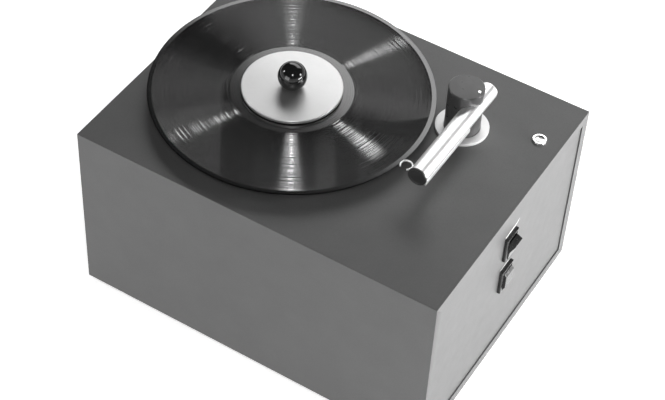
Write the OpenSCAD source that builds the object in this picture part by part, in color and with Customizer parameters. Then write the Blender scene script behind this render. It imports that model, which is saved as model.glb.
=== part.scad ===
// Record cleaning machine: a laminated box with a turntable, a record clamp and a swinging suction arm.
// +X is to the right along the front, +Y to the back, +Z up.
// The origin is the centre of the cabinet's underside, and the feet reach below it.

/* [Cabinet] */
// Width of the cabinet, left to right
body_w = 423; // [412:1:450]
// Depth of the cabinet, front to back
body_d = 326; // [324:1:350]
// Height of the cabinet without its feet
body_h = 220; // [216:1:250]
// Thickness of the laminated boards
board_t = 12; // [10:0.5:13]
// Depth of the side panels inside the ends of the boards
side_recess = 1.5; // [0.5:0.1:3]
// Side of the square corner posts
post_side = 14; // [8:0.5:15]
// Height of the rubber feet
foot_h = 6; // [3:0.5:12]
// Radius of the rubber feet
foot_r = 12; // [8:0.5:15]
// Distance from the feet's centres to the cabinet's edges
foot_inset = 28; // [20:1:40]

/* [Turntable] */
// Distance of the turntable's axis to the left of the middle
table_left = 58; // [56:0.5:60]
// Distance of the turntable's axis behind the middle
table_back = 4; // [0:0.5:8]
// Radius of the platter
platter_r = 140; // [120:1:145]
// Gap between the cabinet's top and the platter
platter_gap = 2; // [1.6:0.1:3]
// Thickness of the platter
platter_t = 8.4; // [7:0.1:9]
// Thickness of the platter mat
mat_t = 1.8; // [1:0.1:3]
// Radius of the record
record_r = 150.75; // [150:0.05:151]
// Thickness of the record at its label and rim
record_t = 1.9; // [1.6:0.1:2.4]
// Depth of the grooved band below the label
groove_drop = 0.3; // [0.1:0.05:0.5]
// Radius of the record's centre hole
record_hole_r = 3.62; // [3.6:0.01:3.7]
// Radius of the spindle in its bushes
shaft_r = 6; // [5:0.1:7]
// Radius of the spindle's hub flange under the platter
hub_r = 25.5; // [20:0.5:30]
// Radius of the screw thread that the clamp turns on
thread_r = 3; // [2.5:0.05:3.3]
// Length of the screw thread above the record
thread_len = 15; // [12:0.5:17]

/* [Clamp] */
// Radius of the clamp disc
clamp_r = 53.5; // [45:0.5:56]
// Thickness of the clamp disc
clamp_t = 3.8; // [2.5:0.1:5]
// Thickness of the gasket ring under the clamp disc
gasket_t = 1; // [0.6:0.1:1.6]
// Width of the gasket ring
gasket_w = 10; // [4:0.5:14]
// Radius of the ball knob
ball_r = 15.5; // [14:0.1:17]
// Height of the ball's centre above the clamp disc
ball_up = 13.7; // [12:0.1:14]

/* [Drive] */
// Radius of the driven pulley
driven_r = 42; // [34:0.5:44]
// Radius of the motor pulley
motor_pulley_r = 9; // [7:0.5:11]
// Distance between the motor bracket and the left side panel
motor_margin = 11; // [6:0.5:16]
// Height of both pulleys
pulley_h = 14; // [12:0.5:16]
// Depth of the pulleys' tops below the cabinet's top
pulley_drop = 70; // [68:0.5:76]
// Thickness of the belt
belt_t = 1.2; // [0.8:0.1:2]
// Width of the belt
belt_w = 7; // [4:0.5:9]
// Radius of the drive motor
motor_r = 25; // [20:0.5:28]
// Height of the drive motor
motor_h = 55; // [40:1:60]

/* [Arm] */
// Distance of the column's axis to the right of the middle
column_right = 111; // [110:0.5:113]
// Distance of the column's axis behind the middle
column_back = 67; // [65:0.5:69]
// Radius of the arm column
column_r = 19; // [18:0.1:20]
// Height of the column's top above the cabinet
column_h = 57.5; // [54:0.5:64]
// Edge chamfer at the column's top
column_chamfer = 1; // [0.4:0.1:2]
// Radius of the silver base ring
base_r = 28.5; // [27:0.5:29]
// Thickness of the base ring
base_t = 3; // [2:0.1:5]
// Radius of the suction tube
tube_r = 10; // [9.5:0.1:10.5]
// Wall thickness of the suction tube
tube_wall = 1.4; // [1:0.1:2]
// Height of the tube's axis above the cabinet
tube_up = 37; // [36:0.5:40]
// Sideways distance from the column's axis to the tube's axis
tube_side = 12.4; // [11.5:0.1:13]
// Reach of the tube in front of the column's axis
tube_front = 121; // [118:0.5:123]
// Reach of the tube behind the column's axis
tube_rear = 30; // [26:0.5:36]
// Depth of the tube's domed rear end
rear_dome = 3; // [1.5:0.5:5]
// Thickness of the end cap's flange
cap_t = 1.8; // [1:0.1:3]
// Amount by which the end cap's flange is larger than the tube
cap_lip = 0.4; // [0.2:0.1:1]
// Width of the nozzle bar under the tube
nozzle_w = 15.6; // [12:0.2:16]
// Thickness of the nozzle bar below the tube
nozzle_t = 3.2; // [2.4:0.1:4]
// Distance from the tube's tip to the nozzle bar's front end
nozzle_setback = 6; // [5:0.5:10]
// Length of the nozzle bar
nozzle_len = 91; // [84:0.5:93]
// Width of the suction slot
slot_w = 2.4; // [1.5:0.1:3.5]
// Thickness of the velvet strips
velvet_t = 2.4; // [1.5:0.1:3]
// Radius of the suction pipe inside the cabinet
pipe_r = 12; // [11:0.1:12.5]
// Wall thickness of the suction pipe
pipe_wall = 2.5; // [2:0.1:4]
// Radius of the finger loop, to the middle of its wire
loop_r = 6.2; // [5.5:0.1:7]
// Diameter of the finger loop's wire
loop_wire = 1.8; // [1.4:0.1:2.4]

/* [Switches] */
// Distance of the push button from the cabinet's right edge
button_inset = 24.2; // [23.4:0.1:32]
// Distance of the push button behind the middle
button_back = 95; // [85:0.5:105]
// Radius of the push button's bezel
button_r = 8; // [7.5:0.1:10]
// Height of the button's bezel above the cabinet
button_h = 2.2; // [1.5:0.1:3]
// Travel of the push button
button_travel = 1.5; // [1:0.1:1.8]
// Width of a rocker switch's bezel
bezel_w = 24; // [23:0.5:28]
// Height of a rocker switch's bezel
bezel_h = 32; // [32:0.5:34]
// Thickness of a rocker switch's bezel
bezel_t = 4; // [3.6:0.1:4.4]
// Width of a rocker
rocker_w = 17; // [15:0.5:18]
// Distance of the rocker switches in front of the middle
switch_front = 2.5; // [0:0.5:6]
// Depth of the vacuum rocker's centre below the cabinet's top
vacuum_drop = 55; // [50:1:60]
// Depth of the direction rocker's centre below the cabinet's top
direction_drop = 104.5; // [100:0.5:108]
// Tilt of the vacuum rocker in its off position
vacuum_tilt = 16; // [10:0.5:17]

/* [Vacuum] */
// Width of the waste tank
tank_w = 130; // [110:1:140]
// Depth of the waste tank, front to back
tank_d = 118; // [100:1:122]
// Height of the waste tank
tank_h = 86; // [70:1:88]
// Wall thickness of the tank
tank_wall = 3; // [2:0.5:4]
// Radius of the fan housing
fan_r = 50; // [44:0.5:52]
// Height of the fan housing
fan_h = 40; // [34:1:42]
// Radius of the blower's motor
blower_r = 38; // [30:0.5:42]
// Height of the blower's motor
blower_h = 57; // [45:1:60]
// Radius of the suction hose
hose_r = 9; // [8:0.5:10]
// Radius of the drain spigot
spigot_r = 5; // [4:0.1:6]
// Length of the drain spigot
spigot_len = 20; // [14:1:26]

/* [Hidden] */
$fn = 96;
// Clearance between parts that are pushed together
fit = 0.05;
// Clearance between parts that move past each other
gap = 0.3;
// Clearance between parts that are pressed together for good
press = 0.02;
// Gap between faces that all but touch
touch = 0.1;
// Overlap that keeps cuts clean
eps = 0.1;

// Cabinet
top_z = body_h;
inner_z = board_t;
ceiling_z = body_h - board_t;
inner_x = body_w / 2 - side_recess - board_t;
inner_y = body_d / 2 - board_t;
panel_x = body_w / 2 - side_recess;
foot_screw_r = 2;
foot_edge = 1.5;
foot_screw_head = 1.8;
foot_screw_in = 7;
foot_screw_tip = 2;

// Turntable stack, from the cabinet's top upwards
table_x = -table_left;
table_y = table_back;
platter_z = top_z + platter_gap;
mat_z = platter_z + platter_t;
record_z = mat_z + mat_t;
label_z = record_z + record_t;
label_r = 50;
bead_w = 3.2;
groove_out_r = record_r - bead_w;
groove_slope = 0.8;
rim_bevel = 0.6;
platter_edge = 1;
mat_inset = 2;
hub_t = 4;
hub_lift = 1;
hub_z = top_z + hub_lift;
hub_recess = hub_z + hub_t - platter_z;
record_fit = 0.07;
spindle_r = record_hole_r - record_fit;
spindle_edge = 0.5;
thread_tip = 1;
spindle_tail = 4;
shaft_drop = pulley_drop + pulley_h + spindle_tail;
bush_wall = 3;
bush_r = shaft_r + fit + bush_wall;
bush_len = 12;
thrust_gap = 0.2;
circlip_w = 3;
circlip_t = 1.2;
housing_wall = 5;
housing_r = bush_r + housing_wall;
housing_len = 60;
housing_drop = 1;
housing_flange_r = 34;
housing_flange_t = 5;

// Clamp, from the label upwards
clamp_z = label_z + gasket_t;
clamp_top_z = clamp_z + clamp_t;
clamp_edge = 0.7;
clamp_bore_gap = 0.2;
gasket_inset = 1.5;
ball_z = clamp_top_z + ball_up;
shoulder_z = clamp_z - touch;
thread_top_z = shoulder_z + thread_len;
thread_room = 1;

// Drive
bracket_side = 9;
bracket_end = 3;
bracket_w = 2 * (motor_r + bracket_side);
bracket_d = 2 * (motor_r + bracket_end);
motor_x = -(inner_x - motor_margin - bracket_w / 2);
pulley_span = table_x - motor_x;
pulley_z = top_z - pulley_drop - pulley_h;
belt_z = pulley_z + (pulley_h - belt_w) / 2;
flange_t = 2;
flange_lip = 2.2;
bracket_t = 3;
bracket_drop = 14;
bracket_z = pulley_z - bracket_drop;
bracket_foot = 12;
motor_edge = 1;
motor_floor = 10;
rotor_gap = 0.5;
motor_shaft_r = 4;
shaft_hole_gap = 3;
motor_screw_edge = 7;
motor_screw_ring = motor_r - motor_screw_edge;
motor_screw_r = 2;
motor_thread_r = 1.7;
motor_screw_in = 7;
motor_screw_head = 2;

// Arm
arm_x = column_right;
arm_y = column_back;
tube_x = arm_x + tube_side;
tube_z = top_z + tube_up;
tube_tip_y = arm_y - tube_front;
tube_end_y = arm_y + tube_rear;
bore_r = tube_r - tube_wall;
base_edge = 0.5;
base_groove = 0.4;
base_groove_w = 0.5;
column_low = 22;
swing_wall = 2.5;
bush_out_r = column_r + fit + swing_wall;
sleeve_wall = 3;
sleeve_r = bush_out_r + fit + sleeve_wall;
sleeve_flange = 8;
sleeve_flange_t = 4;
carrier_floor = 44;
carrier_t = 3.8;
sleeve_floor = carrier_floor + carrier_t + thrust_gap;
sleeve_t = 4;
pipe_hole_r = pipe_r + gap;
pipe_insert = 12;
pipe_port_r = 3.5;
spring_side_gap = 2;
spring_wire = 2.4;
spring_out_r = column_r - spring_side_gap;
spring_turns = 5;
collar_t = 5;
collar_wall = 5;
nozzle_y = tube_tip_y + nozzle_setback;
nozzle_z = tube_z - tube_r - nozzle_t;
nozzle_seat = 1.6;
slot_end = 3;
velvet_z = nozzle_z - velvet_t;
velvet_w = 5;
velvet_inset = 1;
cap_edge = 0.4;
plug_len = 8;
plug_wall = 2;
plug_floor = 1;
rear_plug = 6;
loop_gap = 1;
loop_back = 8.5;
loop_x = tube_x - tube_r - loop_r - loop_gap;
loop_y = tube_tip_y + loop_back;
loop_start = -130;
loop_sweep = 290;
screw_ahead = 14.5;
screw_r = 1.9;
screw_core_r = 1.45;
screw_in = 3.8;
screw_head = 1;
screw_edge = 0.4;
hex_r = 0.8;
hex_floor = 0.4;

// Switches
bezel_x = panel_x + bezel_t;
pivot_in = 7;
pivot_x = bezel_x - pivot_in;
switch_y = -switch_front;
vacuum_z = top_z - vacuum_drop;
direction_z = top_z - direction_drop;
bezel_edge = 1.2;
well_h = 28;
well_side = 0.4;
well_w = rocker_w + 2 * well_side;
well_d = 13;
body_in = 15;
body_wall = 1.6;
body_end = 1;
switch_body_w = well_w + 2 * body_wall;
switch_body_h = well_h + 2 * body_end;
pivot_pin_r = 1.5;
pivot_skin = 0.4;
pivot_end = 0.2;
pivot_hole_len = switch_body_w - 2 * pivot_skin;
pivot_pin_len = pivot_hole_len - 2 * pivot_end;
terminal_step = 8;
terminal_len = 8;
terminal_w = 4.8;
terminal_t = 0.8;
rocker_h = 24;
rocker_back = 4;
rocker_waist = 12;
rocker_shoulder = 4.5;
dip_out = 9.5;
tip_out = 11.3;
tip_h = 21.2;
flat_out = 9.8;
flat_h = 16.4;
facet_out = 7;
button_x = body_w / 2 - button_inset;
button_edge = 0.8;
button_cap_r = 5.2;
button_cap_edge = 0.4;
button_body_r = 6.6;
button_body_len = 30;
nut_wall = 3;
nut_h = 4;
cap_well = 18;
cap_room = 1;
cap_low = 0.2;
dish_depth = 0.7;
dish_sphere_r = 15;

// Vacuum parts
lid_lip = 2;
tank_side_gap = 1;
rear_gap = 9;
tank_x = inner_x - post_side - tank_side_gap - lid_lip - tank_w / 2;
tank_y = inner_y - rear_gap - tank_d / 2;
tank_z = inner_z;
lid_z = tank_z + tank_h;
lid_t = 4;
socket_wall = 4;
socket_h = 20;
socket_z = lid_z + lid_t;
pipe_in = 6;
pipe_low_z = socket_z + pipe_in;
seal_t = 3;
fan_side_gap = 21;
fan_x = tank_x - tank_w / 2 - fan_side_gap - fan_r;
fan_y = inner_y - rear_gap - fan_r;
mount_h = 6;
mount_inset = 1;
mount_ring = 9;
blower_z = inner_z + mount_h;
fan_z = blower_z + blower_h;
fan_wall = 3;
fan_top = fan_z + fan_h;
fan_shaft_r = 3;
fan_shaft_gap = 2;
fan_shaft_end = 2;
blower_floor = 12;
impeller_lift = 4;
impeller_gap = 4;
impeller_h = 16;
impeller_disc = 2;
impeller_hub = 4;
blade_t = 1.6;
blade_end = 1;
hose_wall = 2;
hose_bore_r = hose_r - hose_wall;
hose_bend = 14;
hose_straight = 4;
port_h = 6;
port_out_r = hose_bore_r - touch;
port_in_r = hose_bore_r - hose_wall;
hose_top = fan_top + port_h + hose_bend + hose_straight;
port_inset = 18;
port_x = tank_x - tank_w / 2 + port_inset;
port_y = fan_y;
duct_w = 56;
duct_h = 26;
duct_gap = 1;
duct_wall = 2;
duct_z = fan_z + fan_h / 2;
grille_w = 72;
grille_h = 42;
grille_t = 3;
grille_side = 4;
grille_slot = 1.8;
grille_pitch = 3.4;
drain_x = tank_x;
drain_up = 14;
drain_z = tank_z + drain_up;
drain_r = 7.6;
drain_end = 1;
drain_flange_r = 14;
drain_flange_t = 3;
valve_len = 20;
valve_r = 9;
drain_bore_r = 2;
lever_len = 30;
lever_w = 8;
lever_t = 3;
lever_boss = 1;
stem_r = 2.5;
stem_wall = 2;
stem_up = 2;
stem_in = 3;
back_y = body_d / 2;

// Mains and supply
inlet_z = 45;
inlet_w = 28;
inlet_h = 20;
inlet_d = 18;
inlet_side_gap = 20;
inlet_x = -(inner_x - post_side - inlet_side_gap - inlet_w / 2);
inlet_flange_w = 50;
inlet_flange_end = 4;
inlet_flange_t = 3;
inlet_screw_x = 20;
inlet_screw_r = 1.7;
cavity_w = 24;
cavity_h = 17;
cavity_d = 15;
pin_step = 7;
pin_up = 4;
pin_t = 2;
pin_h = 4;
pin_tail = 8;
pin_recess = 2;
board_w = 80;
board_d = 60;
board_side_gap = 8;
board_front_gap = 16;
board_x = -(inner_x - board_side_gap - board_w / 2);
board_y = -(inner_y - board_front_gap - board_d / 2);
pcb_t = 1.6;
standoff_h = 8;
standoff_r = 3;
standoff_inset = 5;
transformer_w = 44;
transformer_d = 38;
transformer_h = 32;
transformer_inset = 10;
capacitor_r = 6;
capacitor_h = 20;
capacitor_step = 18;
capacitor_inset = 15;

// A ring that stands on height z, between two radii
module ring(inner, outer, z, h) {
    translate([0, 0, z])
        difference() {
            cylinder(r = outer, h = h);
            translate([0, 0, -eps])
                cylinder(r = inner, h = h + 2 * eps);
        }
}

// A disc at height z with its top edge chamfered
module chamfered_disc(r, z, h, c) {
    translate([0, 0, z])
        rotate_extrude()
            polygon([[0, 0], [r, 0], [r, h - c], [r - c, h], [0, h]]);
}

// Moves its children to the turntable's axis
module at_table() {
    translate([table_x, table_y, 0])
        children();
}

// Moves its children to the arm column's axis
module at_arm() {
    translate([arm_x, arm_y, 0])
        children();
}

// A cylinder that lies along +Y from the point given
module along_y(x, y, z, r, len) {
    translate([x, y, z])
        rotate([-90, 0, 0])
            cylinder(r = r, h = len);
}

// A long board of the sleeve, drawn as its end outline in Y and Z
module sleeve_board(points) {
    translate([-body_w / 2, 0, 0])
        rotate([90, 0, 90])
            linear_extrude(height = body_w)
                polygon(points);
}

module front_board() {
    color("#5a5a5c")
        sleeve_board([
            [-body_d / 2, 0], [-inner_y, board_t], [-inner_y, body_h - board_t], [-body_d / 2, body_h]
        ]);
}

module top_board() {
    color("#4a4a4c")
        difference() {
            sleeve_board([
                [-body_d / 2, body_h], [-inner_y, ceiling_z], [inner_y, ceiling_z], [body_d / 2, body_h]
            ]);
            at_table()
                translate([0, 0, ceiling_z - eps])
                    cylinder(r = housing_r + gap, h = board_t + 2 * eps);
            at_arm()
                translate([0, 0, ceiling_z - eps])
                    cylinder(r = sleeve_r + fit, h = board_t + 2 * eps);
            translate([button_x, button_back, ceiling_z - eps])
                cylinder(r = button_body_r + fit, h = board_t + 2 * eps);
        }
}

module rear_board() {
    color("#4a4a4c")
        difference() {
            sleeve_board([
                [body_d / 2, 0], [body_d / 2, body_h], [inner_y, body_h - board_t], [inner_y, board_t]
            ]);
            translate([fan_x, back_y, duct_z])
                cube([duct_w, 4 * board_t, duct_h], center = true);
            translate([inlet_x, back_y, inlet_z])
                cube([inlet_w + 2 * fit, 4 * board_t, inlet_h + 2 * fit], center = true);
            along_y(drain_x, inner_y - eps, drain_z, drain_r + fit, board_t + 2 * eps);
        }
}

module bottom_board() {
    color("#4a4a4c")
        difference() {
            sleeve_board([
                [-body_d / 2, 0], [body_d / 2, 0], [inner_y, board_t], [-inner_y, board_t]
            ]);
            at_feet()
                translate([0, 0, -eps])
                    cylinder(r = foot_screw_r + fit, h = foot_screw_in + foot_screw_tip + 2 * eps);
        }
}

// A side panel without openings, with its outer face towards +X
module side_panel() {
    translate([inner_x, -inner_y, inner_z])
        cube([board_t, 2 * inner_y, ceiling_z - inner_z]);
}

module left_panel() {
    color("#5a5a5c")
        mirror([1, 0, 0])
            side_panel();
}

module right_panel() {
    color("#707072")
        difference() {
            side_panel();
            for (z = [vacuum_z, direction_z])
                translate([inner_x + board_t / 2, switch_y, z])
                    cube([2 * board_t, switch_body_w + 2 * fit, switch_body_h + 2 * fit], center = true);
        }
}

module corner_posts() {
    color("#9a8a6a")
        for (sx = [-1, 1], sy = [-1, 1])
            translate([
                sx * (inner_x - post_side / 2), sy * (inner_y - post_side / 2), (inner_z + ceiling_z) / 2
            ])
                cube([post_side, post_side, ceiling_z - inner_z], center = true);
}

// Puts its children at each of the four feet
module at_feet() {
    for (sx = [-1, 1], sy = [-1, 1])
        translate([sx * (body_w / 2 - foot_inset), sy * (body_d / 2 - foot_inset), 0])
            children();
}

module feet() {
    color("#1a1a1a")
        at_feet()
            difference() {
                translate([0, 0, -foot_h])
                    rotate_extrude()
                        polygon([
                            [0, 0], [foot_r - foot_edge, 0], [foot_r, foot_edge], [foot_r, foot_h],
                            [0, foot_h]
                        ]);
                translate([0, 0, -foot_h - eps])
                    cylinder(r = 2 * foot_screw_r + gap, h = foot_h / 2 + eps);
                translate([0, 0, -foot_h])
                    cylinder(r = foot_screw_r + fit, h = foot_h + eps);
            }
}

module foot_screws() {
    color("#b0b0b0")
        at_feet()
            translate([0, 0, -foot_h / 2])
                rotate_extrude()
                    polygon([
                        [0, -foot_screw_head], [2 * foot_screw_r, -foot_screw_head], [2 * foot_screw_r, 0],
                        [foot_screw_r, 0], [foot_screw_r, foot_h / 2 + foot_screw_in],
                        [0, foot_h / 2 + foot_screw_in + foot_screw_tip]
                    ]);
}

module platter() {
    color("#2a2a2c")
        at_table()
            translate([0, 0, platter_z])
                rotate_extrude()
                    polygon([
                        [shaft_r + fit, hub_recess], [hub_r + fit, hub_recess], [hub_r + fit, 0],
                        [platter_r - platter_edge, 0], [platter_r, platter_edge],
                        [platter_r, platter_t - platter_edge], [platter_r - platter_edge, platter_t],
                        [shaft_r + fit, platter_t]
                    ]);
}

module platter_mat() {
    color("#1c1c1c")
        at_table()
            ring(spindle_r + gap, platter_r - mat_inset, mat_z, mat_t);
}

module record() {
    color("#202022")
        at_table()
            translate([0, 0, record_z])
                rotate_extrude($fn = 180)
                    polygon([
                        [record_hole_r, 0], [record_r - rim_bevel, 0], [record_r, rim_bevel],
                        [record_r, record_t - rim_bevel], [record_r - rim_bevel, record_t],
                        [groove_out_r + groove_slope, record_t], [groove_out_r, record_t - groove_drop],
                        [label_r + groove_slope, record_t - groove_drop], [label_r, record_t],
                        [record_hole_r, record_t]
                    ]);
}

module spindle() {
    color("#c8c8cc")
        at_table()
            rotate_extrude()
                polygon([
                    [0, top_z - shaft_drop], [shaft_r - spindle_edge, top_z - shaft_drop],
                    [shaft_r, top_z - shaft_drop + spindle_edge], [shaft_r, hub_z], [hub_r, hub_z],
                    [hub_r, hub_z + hub_t], [shaft_r, hub_z + hub_t], [shaft_r, mat_z],
                    [spindle_r, mat_z], [spindle_r, shoulder_z], [thread_r, shoulder_z],
                    [thread_r, thread_top_z - thread_tip], [thread_r - thread_tip, thread_top_z],
                    [0, thread_top_z]
                ]);
}

module bearing_housing() {
    color("#a8a8aa")
        at_table()
            difference() {
                union() {
                    translate([0, 0, top_z - housing_len])
                        cylinder(r = housing_r, h = housing_len - housing_drop);
                    translate([0, 0, ceiling_z - housing_flange_t])
                        cylinder(r = housing_flange_r, h = housing_flange_t);
                }
                translate([0, 0, top_z - housing_len - eps])
                    cylinder(r = bush_r, h = housing_len + 2 * eps);
            }
}

module bearing_bushes() {
    color("#b08040")
        at_table() {
            ring(shaft_r + fit, bush_r - press, hub_z - thrust_gap - bush_len, bush_len);
            ring(shaft_r + fit, bush_r - press, top_z - housing_len, bush_len);
        }
}

// A flanged pulley with its bore, standing on the pulleys' common level
module pulley(r, bore) {
    difference() {
        union() {
            translate([0, 0, pulley_z])
                cylinder(r = r, h = pulley_h);
            for (z = [pulley_z, pulley_z + pulley_h - flange_t])
                translate([0, 0, z])
                    cylinder(r = r + flange_lip, h = flange_t);
        }
        translate([0, 0, pulley_z - eps])
            cylinder(r = bore, h = pulley_h + 2 * eps);
    }
}

module driven_pulley() {
    color("#d8d8da")
        at_table()
            pulley(driven_r, shaft_r + press);
}

module spindle_circlip() {
    color("#808080")
        at_table()
            ring(shaft_r + press, shaft_r + circlip_w, pulley_z - touch - circlip_t, circlip_t);
}

// The belt's outline at a distance from both pulleys
module belt_outline(out) {
    hull() {
        circle(r = driven_r + out);
        translate([-pulley_span, 0])
            circle(r = motor_pulley_r + out);
    }
}

module drive_belt() {
    color("#202020")
        at_table()
            translate([0, 0, belt_z])
                linear_extrude(height = belt_w)
                    difference() {
                        belt_outline(gap + belt_t);
                        belt_outline(gap);
                    }
}

module motor_pulley() {
    color("#d8d8da")
        translate([motor_x, table_y, 0])
            pulley(motor_pulley_r, motor_shaft_r + press);
}

module drive_motor() {
    color("#8a8a8c")
        translate([motor_x, table_y, 0])
            difference() {
                chamfered_disc(motor_r, bracket_z - motor_h, motor_h, motor_edge);
                translate([0, 0, bracket_z - motor_h + motor_floor])
                    cylinder(r = motor_shaft_r + fit, h = motor_h);
                motor_screw_holes(motor_thread_r);
            }
}

module motor_shaft() {
    shaft_z = bracket_z - motor_h + motor_floor + rotor_gap;
    color("#c8c8cc")
        translate([motor_x, table_y, shaft_z])
            cylinder(r = motor_shaft_r, h = pulley_z + pulley_h - shaft_z);
}

// Four holes round the motor's axis
module motor_screw_holes(r) {
    for (a = [45:90:315])
        rotate([0, 0, a])
            translate([motor_screw_ring, 0, bracket_z - motor_screw_in - gap])
                cylinder(r = r, h = motor_screw_in + gap + bracket_t + eps);
}

module motor_bracket() {
    color("#a0a0a2")
        translate([motor_x, table_y, 0])
            difference() {
                union() {
                    translate([-bracket_w / 2, -bracket_d / 2, bracket_z])
                        cube([bracket_w, bracket_d, bracket_t]);
                    for (sx = [-1, 1]) {
                        translate([
                            sx * (bracket_w - bracket_t) / 2, 0, (inner_z + bracket_z + bracket_t) / 2
                        ])
                            cube([bracket_t, bracket_d, bracket_z + bracket_t - inner_z], center = true);
                        translate([sx * (bracket_w - bracket_foot) / 2, 0, inner_z + bracket_t / 2])
                            cube([bracket_foot, bracket_d, bracket_t], center = true);
                    }
                }
                translate([0, 0, bracket_z - eps])
                    cylinder(r = motor_shaft_r + shaft_hole_gap, h = bracket_t + 2 * eps);
                motor_screw_holes(motor_screw_r + fit);
            }
}

module motor_screws() {
    color("#b0b0b0")
        translate([motor_x, table_y, 0])
            for (a = [45:90:315])
                rotate([0, 0, a])
                    translate([motor_screw_ring, 0, bracket_z]) {
                        translate([0, 0, -motor_screw_in])
                            cylinder(r = motor_thread_r - fit, h = motor_screw_in + bracket_t + touch);
                        translate([0, 0, bracket_t])
                            cylinder(r = 2 * motor_screw_r, h = motor_screw_head);
                    }
}

module clamp_disc() {
    color("#dcdcdc")
        at_table()
            difference() {
                chamfered_disc(clamp_r, clamp_z, clamp_t, clamp_edge);
                translate([0, 0, clamp_z - eps])
                    cylinder(r = spindle_r + clamp_bore_gap, h = clamp_t + 2 * eps);
            }
}

module clamp_gasket() {
    color("#1a1a1a")
        at_table()
            ring(clamp_r - gasket_inset - gasket_w, clamp_r - gasket_inset, label_z, gasket_t);
}

module clamp_knob() {
    color("#0c0c0c")
        at_table()
            difference() {
                translate([0, 0, ball_z])
                    sphere(r = ball_r);
                translate([0, 0, clamp_top_z + touch - ball_r])
                    cylinder(r = ball_r, h = ball_r);
                translate([0, 0, clamp_top_z])
                    cylinder(r = thread_r + fit, h = thread_top_z - clamp_top_z + thread_room);
            }
}

module arm_base_ring() {
    color("#e4e4e4")
        at_arm()
            difference() {
                chamfered_disc(base_r, top_z, base_t, base_edge);
                translate([0, 0, top_z - eps])
                    cylinder(r = column_r + gap, h = base_t + 2 * eps);
                ring(base_r - base_groove, base_r + eps, top_z + base_t / 3, base_groove_w);
            }
}

module arm_sleeve() {
    color("#a8a8aa")
        at_arm()
            difference() {
                union() {
                    translate([0, 0, top_z - sleeve_floor - sleeve_t])
                        cylinder(r = sleeve_r, h = sleeve_floor + sleeve_t);
                    translate([0, 0, ceiling_z - sleeve_flange_t])
                        cylinder(r = sleeve_r + sleeve_flange, h = sleeve_flange_t);
                }
                translate([0, 0, top_z - sleeve_floor])
                    cylinder(r = bush_out_r + fit, h = sleeve_floor + eps);
                translate([0, 0, top_z - sleeve_floor - sleeve_t - eps])
                    cylinder(r = pipe_hole_r, h = sleeve_t + 2 * eps);
            }
}

module swing_bush() {
    color("#e8e4d8")
        at_arm()
            difference() {
                translate([0, 0, top_z - carrier_floor - carrier_t])
                    cylinder(r = bush_out_r, h = carrier_floor + carrier_t - gap);
                translate([0, 0, top_z - carrier_floor])
                    cylinder(r = column_r + fit, h = carrier_floor + eps);
                translate([0, 0, top_z - carrier_floor - carrier_t - eps])
                    cylinder(r = pipe_hole_r, h = carrier_t + 2 * eps);
            }
}

module lift_spring() {
    coil_h = carrier_floor - column_low - touch;
    turned = -360 * spring_turns;
    color("#b8b8ba")
        at_arm()
            translate([0, 0, top_z - carrier_floor])
                linear_extrude(height = coil_h, twist = turned, slices = 16 * spring_turns, $fn = 16)
                    intersection() {
                        difference() {
                            circle(r = spring_out_r);
                            circle(r = spring_out_r - spring_wire);
                        }
                        translate([-2 * spring_out_r, 0])
                            square([4 * spring_out_r, 2 * spring_out_r]);
                    }
}

module arm_column() {
    color("#141414")
        at_arm()
            difference() {
                chamfered_disc(column_r, top_z - column_low, column_low + column_h, column_chamfer);
                translate([0, 0, top_z - column_low - eps])
                    cylinder(r = pipe_r + press, h = pipe_insert + eps);
                translate([0, 0, top_z - column_low])
                    cylinder(r = pipe_r - pipe_wall, h = column_low + tube_up);
                along_y(tube_side, -2 * column_r, tube_z, tube_r + fit, 4 * column_r);
                translate([screw_ahead, 0, top_z + column_h - screw_in - touch])
                    cylinder(r = screw_core_r + fit, h = screw_in + touch + eps);
            }
}

module column_screw() {
    color("#f0f0f0")
        at_arm()
            translate([screw_ahead, 0, top_z + column_h]) {
                translate([0, 0, -screw_in])
                    cylinder(r = screw_core_r, h = screw_in + hex_floor / 2);
                difference() {
                    chamfered_disc(screw_r, 0, screw_head, screw_edge);
                    translate([0, 0, hex_floor])
                        cylinder(r = hex_r, h = screw_head, $fn = 6);
                }
            }
}

module suction_pipe() {
    color("#c0c0c2")
        at_arm()
            ring(pipe_r - pipe_wall, pipe_r, pipe_low_z, top_z - column_low + pipe_insert - pipe_low_z);
}

module stop_collar() {
    collar_z = top_z - sleeve_floor - sleeve_t - gap - collar_t;
    color("#909092")
        at_arm()
            ring(pipe_r + press, pipe_r + collar_wall, collar_z, collar_t);
}

module suction_tube() {
    color("#f4f4f4")
        difference() {
            along_y(tube_x, tube_tip_y + cap_t, tube_z, tube_r, tube_front + tube_rear - cap_t - rear_dome);
            along_y(tube_x, tube_tip_y, tube_z, bore_r, tube_front + tube_rear);
            translate([arm_x + tube_side / 2, arm_y, tube_z - tube_r])
                cylinder(r = pipe_port_r, h = tube_r);
            translate([tube_x - slot_w / 2, nozzle_y + slot_end, tube_z - tube_r - eps])
                cube([slot_w, nozzle_len - 2 * slot_end, tube_r]);
        }
}

module tube_end_cap() {
    color("#101010")
        difference() {
            union() {
                along_y(tube_x, tube_tip_y + cap_edge, tube_z, tube_r + cap_lip, cap_t - cap_edge);
                along_y(tube_x, tube_tip_y, tube_z, tube_r + cap_lip - cap_edge, cap_edge);
                along_y(tube_x, tube_tip_y + cap_t, tube_z, bore_r - press, plug_len);
            }
            along_y(tube_x, tube_tip_y + cap_t + plug_floor, tube_z, bore_r - plug_wall, plug_len);
        }
}

module tube_rear_cap() {
    color("#f0f0f0")
        translate([tube_x, tube_end_y - rear_dome, tube_z])
            rotate([-90, 0, 0])
                rotate_extrude()
                    polygon(concat(
                        [[0, -rear_plug], [bore_r - press, -rear_plug], [bore_r - press, 0], [tube_r, 0]],
                        [for (a = [10:10:90]) [
                            tube_r - rear_dome + rear_dome * cos(a), rear_dome * sin(a)
                        ]],
                        [[0, rear_dome]]
                    ));
}

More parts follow.
